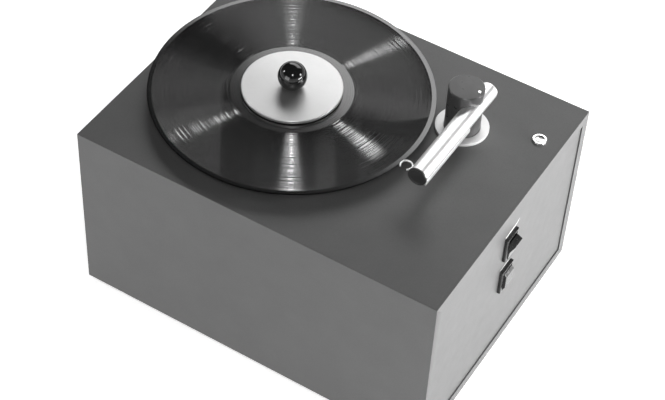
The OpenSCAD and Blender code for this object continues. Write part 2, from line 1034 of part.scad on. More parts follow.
module nozzle_bar() {
    color("#e8e8e8")
        difference() {
            translate([tube_x - nozzle_w / 2, nozzle_y, nozzle_z])
                cube([nozzle_w, nozzle_len, nozzle_t + nozzle_seat]);
            along_y(tube_x, nozzle_y - eps, tube_z, tube_r + fit, nozzle_len + 2 * eps);
            translate([tube_x - slot_w / 2, nozzle_y + slot_end, nozzle_z - eps])
                cube([slot_w, nozzle_len - 2 * slot_end, nozzle_t + nozzle_seat + 2 * eps]);
        }
}

module velvet_strips() {
    color("#0c0c0c")
        for (side = [-1, 1])
            translate([
                tube_x + side * ((slot_w + velvet_w) / 2 + gap), nozzle_y + nozzle_len / 2,
                velvet_z + velvet_t / 2
            ])
                cube([velvet_w, nozzle_len - 2 * velvet_inset, velvet_t], center = true);
}

module finger_loop() {
    color("#f0f0f0")
        translate([loop_x, loop_y, tube_z]) {
            rotate([0, 0, loop_start])
                rotate_extrude(angle = loop_sweep)
                    translate([loop_r, 0])
                        circle(r = loop_wire / 2, $fn = 24);
            translate([loop_r, 0, 0])
                rotate([0, 90, 0])
                    cylinder(r = loop_wire / 2, h = loop_gap - fit, $fn = 24);
        }
}

module waste_tank() {
    color("#d8d8d0")
        difference() {
            translate([tank_x - tank_w / 2, tank_y - tank_d / 2, tank_z])
                cube([tank_w, tank_d, tank_h]);
            translate([tank_x - tank_w / 2 + tank_wall, tank_y - tank_d / 2 + tank_wall, tank_z + tank_wall])
                cube([tank_w - 2 * tank_wall, tank_d - 2 * tank_wall, tank_h]);
            along_y(drain_x, tank_y, drain_z, drain_r + fit, tank_d);
        }
}

module tank_lid() {
    color("#c8c8c0")
        difference() {
            union() {
                translate([tank_x - tank_w / 2 - lid_lip, tank_y - tank_d / 2 - lid_lip, lid_z])
                    cube([tank_w + 2 * lid_lip, tank_d + 2 * lid_lip, lid_t]);
                at_arm()
                    translate([0, 0, socket_z])
                        cylinder(r = pipe_hole_r + socket_wall, h = socket_h);
                translate([port_x, port_y, socket_z])
                    cylinder(r = port_out_r, h = port_h);
            }
            at_arm()
                translate([0, 0, lid_z - eps])
                    cylinder(r = pipe_hole_r, h = lid_t + socket_h + 2 * eps);
            translate([port_x, port_y, lid_z - eps])
                cylinder(r = port_in_r, h = lid_t + port_h + 2 * eps);
        }
}

module pipe_seal() {
    color("#1a1a1a")
        at_arm()
            ring(pipe_r + fit, pipe_hole_r + socket_wall, socket_z + socket_h, seal_t);
}

module blower_mount() {
    color("#1a1a1a")
        translate([fan_x, fan_y, 0])
            ring(blower_r - mount_inset - mount_ring, blower_r - mount_inset, inner_z, mount_h);
}

module blower_motor() {
    color("#6a6a6c")
        translate([fan_x, fan_y, 0])
            difference() {
                translate([0, 0, blower_z])
                    cylinder(r = blower_r, h = blower_h);
                translate([0, 0, blower_z + blower_floor])
                    cylinder(r = fan_shaft_r + fit, h = blower_h);
            }
}

module blower_shaft() {
    shaft_z = blower_z + blower_floor + rotor_gap;
    shaft_top = fan_z + fan_wall + impeller_lift + impeller_h + fan_shaft_end;
    color("#c8c8cc")
        translate([fan_x, fan_y, shaft_z])
            cylinder(r = fan_shaft_r, h = shaft_top - shaft_z);
}

module impeller() {
    blade_r = fan_r - fan_wall - impeller_gap;
    hub_out_r = fan_shaft_r + impeller_hub;
    color("#303032")
        translate([fan_x, fan_y, fan_z + fan_wall + impeller_lift])
            difference() {
                union() {
                    cylinder(r = blade_r, h = impeller_disc);
                    cylinder(r = hub_out_r, h = impeller_h);
                    for (a = [0:45:315])
                        rotate([0, 0, a])
                            translate([hub_out_r - impeller_hub / 2, -blade_t / 2, 0])
                                cube([
                                    blade_r - blade_end - hub_out_r + impeller_hub / 2, blade_t, impeller_h
                                ]);
                }
                translate([0, 0, -eps])
                    cylinder(r = fan_shaft_r + press, h = impeller_h + 2 * eps);
            }
}

module fan_housing() {
    duct_in = duct_gap + duct_wall;
    color("#505052")
        difference() {
            union() {
                translate([fan_x, fan_y, fan_z])
                    cylinder(r = fan_r, h = fan_h);
                translate([fan_x - duct_w / 2 + duct_gap, fan_y, duct_z - duct_h / 2 + duct_gap])
                    cube([duct_w - 2 * duct_gap, inner_y - fan_y + board_t / 2, duct_h - 2 * duct_gap]);
                translate([fan_x, fan_y, fan_top])
                    cylinder(r = port_out_r, h = port_h);
            }
            translate([fan_x, fan_y, fan_z + fan_wall])
                cylinder(r = fan_r - fan_wall, h = fan_h - 2 * fan_wall);
            translate([fan_x - duct_w / 2 + duct_in, fan_y, duct_z - duct_h / 2 + duct_in])
                cube([duct_w - 2 * duct_in, inner_y - fan_y + board_t, duct_h - 2 * duct_in]);
            translate([fan_x, fan_y, fan_z - eps])
                cylinder(r = fan_shaft_r + fan_shaft_gap, h = fan_wall + 2 * eps);
            translate([fan_x, fan_y, fan_top - fan_wall - eps])
                cylinder(r = port_in_r, h = fan_wall + port_h + 2 * eps);
        }
}

// A quarter bend of the hose that starts upwards and ends towards +X
module hose_elbow(r) {
    translate([hose_bend, 0, 0])
        rotate([90, 0, 0])
            rotate([0, 0, 90])
                rotate_extrude(angle = 90)
                    translate([hose_bend, 0])
                        circle(r = r);
}

// The hose's course with a given radius, from the fan's port over to the tank's port
module hose_course(r, past) {
    run_x = port_x - fan_x - 2 * hose_bend;
    rise = hose_top - hose_bend - fan_top;
    drop = hose_top - hose_bend - socket_z;
    translate([fan_x, fan_y, fan_top]) {
        translate([0, 0, -past])
            cylinder(r = r, h = rise + past);
        translate([0, 0, rise])
            hose_elbow(r);
        translate([hose_bend, 0, rise + hose_bend])
            rotate([0, 90, 0])
                cylinder(r = r, h = run_x);
    }
    translate([port_x, port_y, socket_z]) {
        translate([0, 0, -past])
            cylinder(r = r, h = drop + past);
        translate([0, 0, drop])
            mirror([1, 0, 0])
                hose_elbow(r);
    }
}

module suction_hose() {
    color("#2a2a2a")
        difference() {
            hose_course(hose_r, 0);
            hose_course(hose_bore_r, eps);
        }
}

module exhaust_grille() {
    color("#1a1a1a")
        difference() {
            translate([fan_x - grille_w / 2, back_y, duct_z - grille_h / 2])
                cube([grille_w, grille_t, grille_h]);
            for (i = [-3:3])
                translate([fan_x, back_y + grille_t / 2, duct_z + i * grille_pitch])
                    cube([duct_w - 2 * grille_side, 2 * grille_t, grille_slot], center = true);
        }
}

module drain_fitting() {
    flange_y = back_y;
    valve_y = back_y + drain_flange_t;
    spigot_y = valve_y + valve_len;
    inside_y = tank_y + tank_d / 2 - tank_wall - drain_end;
    drain_len = spigot_y + spigot_len - inside_y;
    color("#2a2a2a")
        difference() {
            union() {
                along_y(drain_x, inside_y, drain_z, drain_r, back_y - inside_y + eps);
                along_y(drain_x, flange_y, drain_z, drain_flange_r, drain_flange_t);
                along_y(drain_x, valve_y - eps, drain_z, valve_r, valve_len + eps);
                along_y(drain_x, spigot_y - eps, drain_z, spigot_r, spigot_len + eps);
                translate([drain_x, valve_y + valve_len / 2, drain_z])
                    cylinder(r = stem_r + stem_wall, h = valve_r + stem_up);
            }
            along_y(drain_x, inside_y - eps, drain_z, drain_bore_r, drain_len + 2 * eps);
            translate([drain_x, valve_y + valve_len / 2, drain_z + valve_r - stem_in])
                cylinder(r = stem_r + fit, h = stem_in + stem_up + eps);
        }
}

module drain_lever() {
    lever_z = drain_z + valve_r + stem_up + gap;
    stem_z = drain_z + valve_r - stem_in + thrust_gap;
    color("#c03020")
        translate([drain_x, back_y + drain_flange_t + valve_len / 2, 0]) {
            translate([0, 0, stem_z])
                cylinder(r = stem_r, h = lever_z - stem_z + eps);
            translate([-lever_w / 2, -lever_w / 2, lever_z])
                cube([lever_len, lever_w, lever_t]);
            translate([0, 0, lever_z])
                cylinder(r = lever_w / 2 + lever_boss, h = lever_t + lever_boss);
        }
}

module mains_inlet() {
    color("#1a1a1a")
        translate([inlet_x, back_y, inlet_z]) {
            pin_places()
                pin_blade(0);
            difference() {
                union() {
                    translate([-inlet_flange_w / 2, 0, -inlet_h / 2 - inlet_flange_end])
                        cube([inlet_flange_w, inlet_flange_t, inlet_h + 2 * inlet_flange_end]);
                    translate([-inlet_w / 2, -inlet_d, -inlet_h / 2])
                        cube([inlet_w, inlet_d + inlet_flange_t / 2, inlet_h]);
                }
                translate([-cavity_w / 2, inlet_flange_t - cavity_d, -cavity_h / 2])
                    cube([cavity_w, cavity_d + eps, cavity_h]);
                for (sx = [-1, 1])
                    along_y(sx * inlet_screw_x, -eps, 0, inlet_screw_r, inlet_flange_t + 2 * eps);
                pin_places()
                    pin_blade(press);
            }
        }
}

// Puts its children at the three inlet pins
module pin_places() {
    for (p = [[-pin_step, 0], [0, pin_up], [pin_step, 0]])
        translate([p[0], 0, p[1]])
            children();
}

// One inlet pin, larger on each side by the amount given
module pin_blade(more) {
    translate([-pin_t / 2 - more, -inlet_d - pin_tail, -pin_h / 2 - more])
        cube([pin_t + 2 * more, inlet_d + pin_tail - pin_recess, pin_h + 2 * more]);
}

module supply_board() {
    board_z = inner_z + standoff_h;
    color("#2a6a3a")
        translate([board_x, board_y, 0]) {
            for (sx = [-1, 1], sy = [-1, 1])
                translate([sx * (board_w / 2 - standoff_inset), sy * (board_d / 2 - standoff_inset), inner_z])
                    cylinder(r = standoff_r, h = standoff_h);
            translate([-board_w / 2, -board_d / 2, board_z])
                cube([board_w, board_d, pcb_t]);
            translate([transformer_inset - board_w / 2, -transformer_d / 2, board_z + pcb_t])
                cube([transformer_w, transformer_d, transformer_h]);
            for (i = [-1:1])
                translate([board_w / 2 - capacitor_inset, capacitor_step * i, board_z + pcb_t])
                    cylinder(r = capacitor_r, h = capacitor_h);
        }
}

// A switch body with its bezel, its well and its pivot holes, centred on its rocker in Y and Z
module switch_shell() {
    difference() {
        union() {
            rotate([0, 90, 0])
                bezel_block();
            translate([panel_x - board_t - body_in, -switch_body_w / 2, -switch_body_h / 2])
                cube([board_t + body_in + bezel_t / 2, switch_body_w, switch_body_h]);
            for (i = [-1:1])
                translate([
                    panel_x - board_t - body_in - terminal_len, -terminal_t / 2,
                    terminal_step * i - terminal_w / 2
                ])
                    cube([terminal_len + eps, terminal_t, terminal_w]);
        }
        translate([bezel_x - well_d, -well_w / 2, -well_h / 2])
            cube([well_d + eps, well_w, well_h]);
        along_y(pivot_x, -pivot_hole_len / 2, 0, pivot_pin_r + fit, pivot_hole_len);
    }
}

// The bezel's block, with its four front edges chamfered, drawn standing on its back
module bezel_block() {
    c = bezel_edge;
    translate([0, 0, panel_x])
        intersection() {
            translate([-bezel_h / 2, bezel_w / 2, 0])
                rotate([90, 0, 0])
                    linear_extrude(height = bezel_w)
                        polygon([
                            [0, 0], [bezel_h, 0], [bezel_h, bezel_t - c], [bezel_h - c, bezel_t],
                            [c, bezel_t], [0, bezel_t - c]
                        ]);
            translate([-bezel_h / 2, -bezel_w / 2, 0])
                rotate([90, 0, 90])
                    linear_extrude(height = bezel_h)
                        polygon([
                            [0, 0], [bezel_w, 0], [bezel_w, bezel_t - c], [bezel_w - c, bezel_t],
                            [c, bezel_t], [0, bezel_t - c]
                        ]);
        }
}

// A rocker about its own pivot: outline points are distance out and height
module rocker(points) {
    rotate([90, 0, 0])
        translate([0, 0, -rocker_w / 2])
            linear_extrude(height = rocker_w)
                polygon(points);
    along_y(0, -pivot_pin_len / 2, 0, pivot_pin_r, pivot_pin_len);
}

module vacuum_switch() {
    color("#181818")
        translate([0, switch_y, vacuum_z])
            switch_shell();
}

module vacuum_rocker() {
    color("#222222")
        translate([pivot_x, switch_y, vacuum_z])
            rotate([0, vacuum_tilt, 0])
                rocker([
                    [-rocker_back, -rocker_waist / 2], [rocker_shoulder, -rocker_h / 2],
                    [tip_out, -tip_h / 2], [dip_out, 0], [tip_out, tip_h / 2],
                    [rocker_shoulder, rocker_h / 2], [-rocker_back, rocker_waist / 2]
                ]);
}

module direction_switch() {
    color("#181818")
        translate([0, switch_y, direction_z])
            switch_shell();
}

module direction_rocker() {
    color("#222222")
        translate([pivot_x, switch_y, direction_z])
            rocker([
                [-rocker_back, -rocker_waist / 2], [facet_out, -rocker_h / 2], [flat_out, -flat_h / 2],
                [flat_out, flat_h / 2], [facet_out, rocker_h / 2], [-rocker_back, rocker_waist / 2]
            ]);
}

module button_bezel() {
    color("#d0d0d0")
        translate([button_x, button_back, top_z])
            difference() {
                union() {
                    chamfered_disc(button_r, 0, button_h, button_edge);
                    translate([0, 0, -button_body_len])
                        cylinder(r = button_body_r, h = button_body_len + button_h / 2);
                    translate([0, 0, -board_t - nut_h])
                        cylinder(r = button_body_r + nut_wall, h = nut_h, $fn = 6);
                }
                translate([0, 0, -cap_well])
                    cylinder(r = button_cap_r + fit, h = cap_well + button_h + eps);
            }
}

module button_cap() {
    cap_h = cap_well + button_h - button_travel - cap_room - cap_low;
    color("#b8b8b8")
        translate([button_x, button_back, top_z - cap_well + button_travel + cap_room])
            difference() {
                chamfered_disc(button_cap_r, 0, cap_h, button_cap_edge);
                translate([0, 0, cap_h - dish_depth + dish_sphere_r])
                    sphere(r = dish_sphere_r);
            }
}

front_board();
top_board();
rear_board();
bottom_board();
left_panel();
right_panel();
corner_posts();
feet();
foot_screws();
platter();
platter_mat();
record();
spindle();
bearing_housing();
bearing_bushes();
driven_pulley();
spindle_circlip();
drive_belt();
motor_pulley();
drive_motor();
motor_shaft();
motor_bracket();
motor_screws();
clamp_disc();
clamp_gasket();
clamp_knob();
arm_base_ring();
arm_sleeve();
swing_bush();
lift_spring();
arm_column();
column_screw();
suction_pipe();
stop_collar();
suction_tube();
tube_end_cap();
tube_rear_cap();
nozzle_bar();
velvet_strips();
finger_loop();
waste_tank();
tank_lid();
pipe_seal();
blower_mount();
blower_motor();
blower_shaft();
impeller();
fan_housing();
suction_hose();
exhaust_grille();
drain_fitting();
drain_lever();
mains_inlet();
supply_board();
vacuum_switch();
vacuum_rocker();
direction_switch();
direction_rocker();
button_bezel();
button_cap();
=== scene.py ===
# %% [markdown]
# A record cleaning machine, dressed in Blender. The real one is a wooden box faced with grey laminate. A
# turntable carries the record, a screw-down clamp holds it, and a hollow arm sucks the used fluid off it.
# The solids of the construction come in first as a fixed frame. Every new piece takes its place from them,
# so nothing has to be fitted afterwards.

# %% Load the fixed frame
import bmesh
import bpy
from math import acos, cos, pi, radians, sin
from mathutils import Matrix, Vector


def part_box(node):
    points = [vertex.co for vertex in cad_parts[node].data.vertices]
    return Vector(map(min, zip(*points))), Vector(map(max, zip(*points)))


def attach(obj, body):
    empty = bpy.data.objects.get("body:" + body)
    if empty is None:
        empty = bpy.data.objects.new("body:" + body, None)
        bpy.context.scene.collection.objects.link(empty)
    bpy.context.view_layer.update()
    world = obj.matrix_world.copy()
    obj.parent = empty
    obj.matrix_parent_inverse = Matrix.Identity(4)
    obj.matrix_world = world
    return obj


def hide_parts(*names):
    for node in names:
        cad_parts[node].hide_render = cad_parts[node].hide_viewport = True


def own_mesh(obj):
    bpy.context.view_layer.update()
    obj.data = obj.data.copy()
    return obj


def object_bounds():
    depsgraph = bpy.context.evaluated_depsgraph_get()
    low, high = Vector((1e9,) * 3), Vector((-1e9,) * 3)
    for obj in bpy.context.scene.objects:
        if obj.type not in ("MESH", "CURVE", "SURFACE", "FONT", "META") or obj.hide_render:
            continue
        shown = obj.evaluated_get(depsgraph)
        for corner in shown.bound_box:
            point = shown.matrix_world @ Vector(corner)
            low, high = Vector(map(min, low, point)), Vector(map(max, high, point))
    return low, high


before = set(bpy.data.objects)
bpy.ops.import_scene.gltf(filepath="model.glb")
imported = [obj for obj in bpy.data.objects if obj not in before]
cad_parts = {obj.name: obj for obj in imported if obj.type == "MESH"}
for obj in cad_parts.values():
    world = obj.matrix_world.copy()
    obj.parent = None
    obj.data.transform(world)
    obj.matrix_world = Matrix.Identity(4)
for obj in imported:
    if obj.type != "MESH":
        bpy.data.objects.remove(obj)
cad_low, cad_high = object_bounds()
MM = 0.001
print("frame:", len(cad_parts), "nodes from", tuple(cad_low), "to", tuple(cad_high))

# %% [markdown]
# The camera comes early, because it decides what has to look right. It stands in front of the machine's right
# corner and looks down on it. It could be aimed with a constraint, but three plain angles are easier to read:
# turn about the upright axis, tilt from straight down, and a small roll.

# %% The camera
CAMERA_PLACE = Vector((0.66193, -1.18566, 1.55291))
CAMERA_TURN = radians(29.163)
CAMERA_TILT = radians(43.114)
CAMERA_ROLL = radians(3.426)
CAMERA_LENS = 99.42
camera_data = bpy.data.cameras.new("camera")
camera_data.lens = CAMERA_LENS
camera_data.sensor_width = 36.0
camera = bpy.data.objects.new("camera", camera_data)
bpy.context.scene.collection.objects.link(camera)
camera.matrix_world = (
    Matrix.Translation(CAMERA_PLACE) @ Matrix.Rotation(CAMERA_TURN, 4, "Z")
    @ Matrix.Rotation(CAMERA_TILT, 4, "X") @ Matrix.Rotation(CAMERA_ROLL, 4, "Z")
)
bpy.context.scene.camera = camera
print("camera looks along", tuple(round(v, 4) for v in camera.matrix_world.to_3x3() @ Vector((0, 0, -1))))

# %% [markdown]
# Modelling by hand means the same few moves again and again: add a primitive, pick some of its edges,
# extrude, scale, bevel, and cut. These helpers wrap those moves. Each one deselects everything first,
# because an operator acts on all that is selected.


# %% Helpers for picking and shaping
def only(obj):
    """Selects one object and makes it the active one."""
    bpy.ops.object.select_all(action="DESELECT")
    obj.select_set(True)
    bpy.context.view_layer.objects.active = obj


def settle(obj, name):
    """Names a new object and moves its place, turn and size into its mesh."""
    only(obj)
    obj.name = name
    obj.data.name = name
    bpy.ops.object.transform_apply(location=True, rotation=True, scale=True)
    return obj


def pick(obj, wanted):
    """In edit mode, selects the edges for which the test holds, and no others."""
    bpy.ops.mesh.select_mode(type="EDGE")
    bpy.ops.mesh.select_all(action="DESELECT")
    for edge in bmesh.from_edit_mesh(obj.data).edges:
        if wanted(edge):
            edge.select_set(True)
    bmesh.update_edit_mesh(obj.data)


def face_out():
    """In edit mode, merges doubled corners and turns every face outwards."""
    bpy.ops.mesh.select_all(action="SELECT")
    bpy.ops.mesh.remove_doubles(threshold=0.000001)
    bpy.ops.mesh.normals_make_consistent(inside=False)


def block(name, low, high):
    """A box between two corners."""
    low = Vector(low)
    high = Vector(high)
    bpy.ops.object.select_all(action="DESELECT")
    bpy.ops.mesh.primitive_cube_add(size=1, location=(low + high) / 2, scale=high - low)
    return settle(bpy.context.object, name)


def turned(name, outline, steps=96, closed=False):
    """A piece turned on a lathe about the Z axis through the origin: the outline holds radius and height."""
    bpy.ops.object.select_all(action="DESELECT")
    radius, height = outline[0]
    bpy.ops.mesh.primitive_circle_add(
        vertices=steps, radius=radius, location=(0, 0, height), fill_type="NOTHING" if closed else "NGON"
    )
    obj = settle(bpy.context.object, name)
    bpy.ops.object.mode_set(mode="EDIT")
    pick(obj, lambda edge: True)
    path = outline[1:] + ([outline[0]] if closed else [])
    for next_radius, next_height in path:
        bpy.ops.mesh.extrude_edges_move(
            TRANSFORM_OT_translate={"value": (0, 0, next_height - height)}
        )
        grow = next_radius / radius
        bpy.ops.transform.resize(value=(grow, grow, 1), center_override=(0, 0, next_height))
        radius, height = next_radius, next_height
    if not closed:
        bpy.ops.mesh.edge_face_add()
    face_out()
    bpy.ops.object.mode_set(mode="OBJECT")
    return obj


def drawn(name, outline, depth):
    """A prism about the origin: a flat outline of X and Z in millimetres, thickened to both sides."""
    points = [(x * MM, z * MM) for x, z in outline]
    bpy.ops.object.select_all(action="DESELECT")
    bpy.ops.mesh.primitive_plane_add(size=MM, location=(points[0][0], 0, points[0][1]))
    obj = settle(bpy.context.object, name)
    bpy.ops.object.mode_set(mode="EDIT")
    bpy.ops.mesh.select_mode(type="VERT")
    bpy.ops.mesh.select_all(action="SELECT")
    bpy.ops.mesh.merge(type="CENTER")
    here = points[0]
    for point in points[1:]:
        bpy.ops.mesh.extrude_vertices_move(
            TRANSFORM_OT_translate={"value": (point[0] - here[0], 0, point[1] - here[1])}
        )
        here = point
    bpy.ops.mesh.select_all(action="SELECT")
    bpy.ops.mesh.edge_face_add()
    bpy.ops.mesh.extrude_region_move(TRANSFORM_OT_translate={"value": (0, depth, 0)})
    bpy.ops.mesh.select_all(action="SELECT")
    bpy.ops.transform.translate(value=(0, -depth / 2, 0))
    face_out()
    bpy.ops.object.mode_set(mode="OBJECT")
    return obj


def put(obj, place, axis="Z"):
    """Turns a piece made about Z so that it points along +Y or +X, if asked, and moves it to its place."""
    turn = {"Z": (0, 0, 0), "Y": (-pi / 2, 0, 0), "X": (0, pi / 2, 0)}[axis]
    obj.rotation_euler = turn
    obj.location = place
    return settle(obj, obj.name)


def smooth(obj, angle=30):
    """Shades a piece smooth except across sharp edges, and keeps its large flat faces truly flat."""
    only(obj)
    bpy.ops.object.shade_smooth_by_angle(angle=radians(angle))
    weighted = obj.modifiers.new("flat faces win", "WEIGHTED_NORMAL")
    weighted.keep_sharp = True
    bpy.ops.object.modifier_apply(modifier=weighted.name)
    return obj


def soften(obj, width, segments=2, angle=30):
    """Rounds every sharp edge with a Bevel modifier and shades the curves smooth."""
    only(obj)
    bevel = obj.modifiers.new("soft edges", "BEVEL")
    bevel.width = width
    bevel.segments = segments
    bevel.limit_method = "ANGLE"
    bevel.angle_limit = radians(angle)
    bevel.use_clamp_overlap = True
    bpy.ops.object.modifier_apply(modifier=bevel.name)
    return smooth(obj, angle)


def bevel_some(obj, width, segments, wanted):
    """Bevels only the edges for which the test holds."""
    only(obj)
    bpy.ops.object.mode_set(mode="EDIT")
    pick(obj, wanted)
    bpy.ops.mesh.bevel(offset=width, segments=segments, profile=0.5)
    bpy.ops.object.mode_set(mode="OBJECT")


def cut(obj, cutter):
    """Takes the cutter's shape out of a piece."""
    only(obj)
    boolean = obj.modifiers.new("cut", "BOOLEAN")
    boolean.operation = "DIFFERENCE"
    boolean.solver = "EXACT"
    boolean.object = cutter
    bpy.ops.object.modifier_apply(modifier=boolean.name)
    bpy.data.objects.remove(cutter)
    return obj


def drill(obj, place, radius, axis="Z", length=60 * MM, steps=64):
    """Bores a round hole, whose middle is the place given."""
    bit = turned("bit", [(radius, -length / 2), (radius, length / 2)], steps)
    return cut(obj, put(bit, place, axis))


def slot_out(obj, low, high):
    """Cuts a square opening through a piece."""
    return cut(obj, block("slot_cutter", low, high))


def join(name, *objs):
    """Makes several objects into one piece."""
    only(objs[0])
    for obj in objs[1:]:
        obj.select_set(True)
    bpy.ops.object.join()
    joined = bpy.context.object
    joined.name = name
    joined.data.name = name
    return joined


def middle(node):
    """The centre of a frame node's box."""
    low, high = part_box(node)
    return (low + high) / 2


def round_size(node, axis=2, centre=None):
    """A round node's radius, its length along an axis, and the low end of the centre line."""
    low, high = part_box(node)
    end = Vector(centre or (low + high) / 2)
    end[axis] = low[axis]
    return (high.x - low.x) / 2, high[axis] - low[axis], end


print("helpers ready")

# %% [markdown]
# A finish is a small tree of nodes. The first class shortens the calls that add and join nodes, and the
# surround uses it too. The second adds the shader and the patterns, which read Object coordinates. These are
# the machine's own metres, so a grain of 0.3 mm stays 0.3 mm. Values that are the same all over a surface are
# set on the shader itself. Every finish is kept under its name, so that a piece can ask for it.


# %% Helpers for node trees
finishes = {}


class Nodes:
    """A tree of nodes."""

    def __init__(self, tree):
        self.tree = tree

    def node(self, kind, **settings):
        """Adds a node and sets its own settings."""
        node = self.tree.nodes.new(kind)
        for key, value in settings.items():
            setattr(node, key, value)
        return node

    def feed(self, socket, value):
        """Gives an input a value or a link."""
        if isinstance(value, bpy.types.NodeSocket):
            self.tree.links.new(value, socket)
        else:
            socket.default_value = value

    def maths(self, operation, *values):
        """One Math node."""
        node = self.node("ShaderNodeMath", operation=operation)
        for socket, value in zip(node.inputs, values):
            self.feed(socket, value)
        return node.outputs[0]

    def vector(self, operation, *values):
        """One Vector Math node."""
        node = self.node("ShaderNodeVectorMath", operation=operation)
        for socket, value in zip(node.inputs, values):
            self.feed(socket, value)
        return node.outputs["Value" if operation in ("LENGTH", "DOT_PRODUCT") else "Vector"]

    def stretched(self, vector, factor):
        """A vector times a number that changes from point to point."""
        node = self.node("ShaderNodeVectorMath", operation="SCALE")
        self.feed(node.inputs["Vector"], vector)
        self.feed(node.inputs["Scale"], factor)
        return node.outputs["Vector"]

    def ramp(self, value, low, high, start=0.0, end=1.0, curve="LINEAR"):
        """Maps a value between two numbers to the range from start to end."""
        node = self.node("ShaderNodeMapRange", interpolation_type=curve)
        sockets = ("Value", "From Min", "From Max", "To Min", "To Max")
        for socket, number in zip(sockets, (value, low, high, start, end)):
            self.feed(node.inputs[socket], number)
        return node.outputs["Result"]


class Finish(Nodes):
    """One procedural material around a Principled shader, kept under its name."""

    def __init__(self, name, **settings):
        finishes[name] = self
        self.material = bpy.data.materials.new(name)
        self.material.use_nodes = True
        super().__init__(self.material.node_tree)
        self.shader = self.tree.nodes["Principled BSDF"]
        for socket, value in settings.items():
            self.shader.inputs[socket.replace("_", " ")].default_value = value
        self.place = self.node("ShaderNodeTexCoord").outputs["Object"]

    def shade(self, socket, value):
        """Links a pattern to one of the shader's inputs."""
        self.feed(self.shader.inputs[socket], value)

    def scaled(self, scale=(1, 1, 1), centre=(0, 0, 0)):
        """Object coordinates about a centre, stretched along each axis."""
        mapping = self.node("ShaderNodeMapping", vector_type="POINT")
        self.feed(mapping.inputs["Vector"], self.place)
        mapping.inputs["Scale"].default_value = scale
        mapping.inputs["Location"].default_value = [-c * s for c, s in zip(centre, scale)]
        return mapping.outputs["Vector"]

    def noise(self, size, detail=2.0, vector=None, roughness=0.5):
        """Soft random spots about as wide as the size given in metres."""
        noise = self.node("ShaderNodeTexNoise")
        self.feed(noise.inputs["Vector"], vector or self.place)
        noise.inputs["Scale"].default_value = 1 / size
        noise.inputs["Detail"].default_value = detail
        noise.inputs["Roughness"].default_value = roughness
        return noise.outputs["Fac"]

    def mix(self, factor, first, second):
        """Mixes two colours."""
        node = self.node("ShaderNodeMix", data_type="RGBA")
        for socket, value in (("Factor", factor), ("A", first), ("B", second)):
            self.feed(node.inputs[socket], value)
        return node.outputs["Result"]

    def bump(self, height, depth):
        """Raises the surface by the height pattern times a depth in metres."""
        node = self.node("ShaderNodeBump")
        self.feed(node.inputs["Height"], height)
        node.inputs["Distance"].default_value = depth
        self.shade("Normal", node.outputs["Normal"])


def grey(level):
    """A neutral colour for a screen grey of 0 to 255."""
    share = level / 255
    linear = share / 12.92 if share <= 0.04045 else ((share + 0.055) / 1.055) ** 2.4
    return (linear, linear, linear, 1)


print("node helpers ready")

# %% [markdown]
# Three families cover most of the machine: plastic and rubber, plain or turned metal, and the laminate. Each
# family is a function, so that every finish gets mottling, a changing gloss and a fine relief of its own.


# %% Families of finishes
def moulded(name, colour, gloss, spot=0.4 * MM, relief=0.02 * MM, uneven=0.06, **settings):
    """Moulded plastic or rubber: faint cloudy colour, a fine spark-eroded grain, handled gloss."""
    finish = Finish(name, **settings)
    clouds = finish.noise(18 * MM, 3)
    light = [min(1, c * 1.25 + 0.004) for c in colour[:3]] + [1]
    finish.shade("Base Color", finish.mix(finish.ramp(clouds, 0.35, 0.7), colour, light))
    marks = finish.noise(5 * MM, 4)
    finish.shade("Roughness", finish.ramp(marks, 0.3, 0.7, gloss - uneven, gloss + uneven))
    finish.bump(finish.noise(spot, 2), relief)


def metal(name, colour, gloss, grain=(1, 1, 40), relief=0.004 * MM, uneven=0.05, stain=0.1, **settings):
    """Machined metal: a grain drawn out along one axis, and a gloss that wanders."""
    finish = Finish(name, Metallic=1.0, **settings)
    lines = finish.noise(3 * MM, 3, finish.scaled(grain))
    dark = [c * (1 - stain) for c in colour[:3]] + [1]
    cloud = finish.ramp(finish.noise(25 * MM, 3), 0.4, 0.75)
    finish.shade("Base Color", finish.mix(cloud, colour, dark))
    finish.shade("Roughness", finish.ramp(lines, 0.3, 0.7, gloss - uneven, gloss + uneven))
    if relief:
        finish.bump(lines, relief)


def laminate(name, level):
    """Charcoal board laminate: fine pores, faint cloudiness, and a soft satin gloss."""
    finish = Finish(name, Specular_IOR_Level=0.5)
    clouds = finish.noise(30 * MM, 4)
    pores = finish.noise(1.2 * MM, 3)
    shade = finish.maths("ADD", finish.maths("MULTIPLY", clouds, 0.4), finish.maths("MULTIPLY", pores, 0.6))
    dark, light = grey(level - 3), grey(level + 3)
    finish.shade("Base Color", finish.mix(finish.ramp(shade, 0.38, 0.62), dark, light))
    smears = finish.noise(12 * MM, 4)
    finish.shade("Roughness", finish.ramp(smears, 0.3, 0.7, 0.44, 0.47))
    finish.bump(finish.noise(0.6 * MM, 2), 0.004 * MM)


print("families of finishes ready")
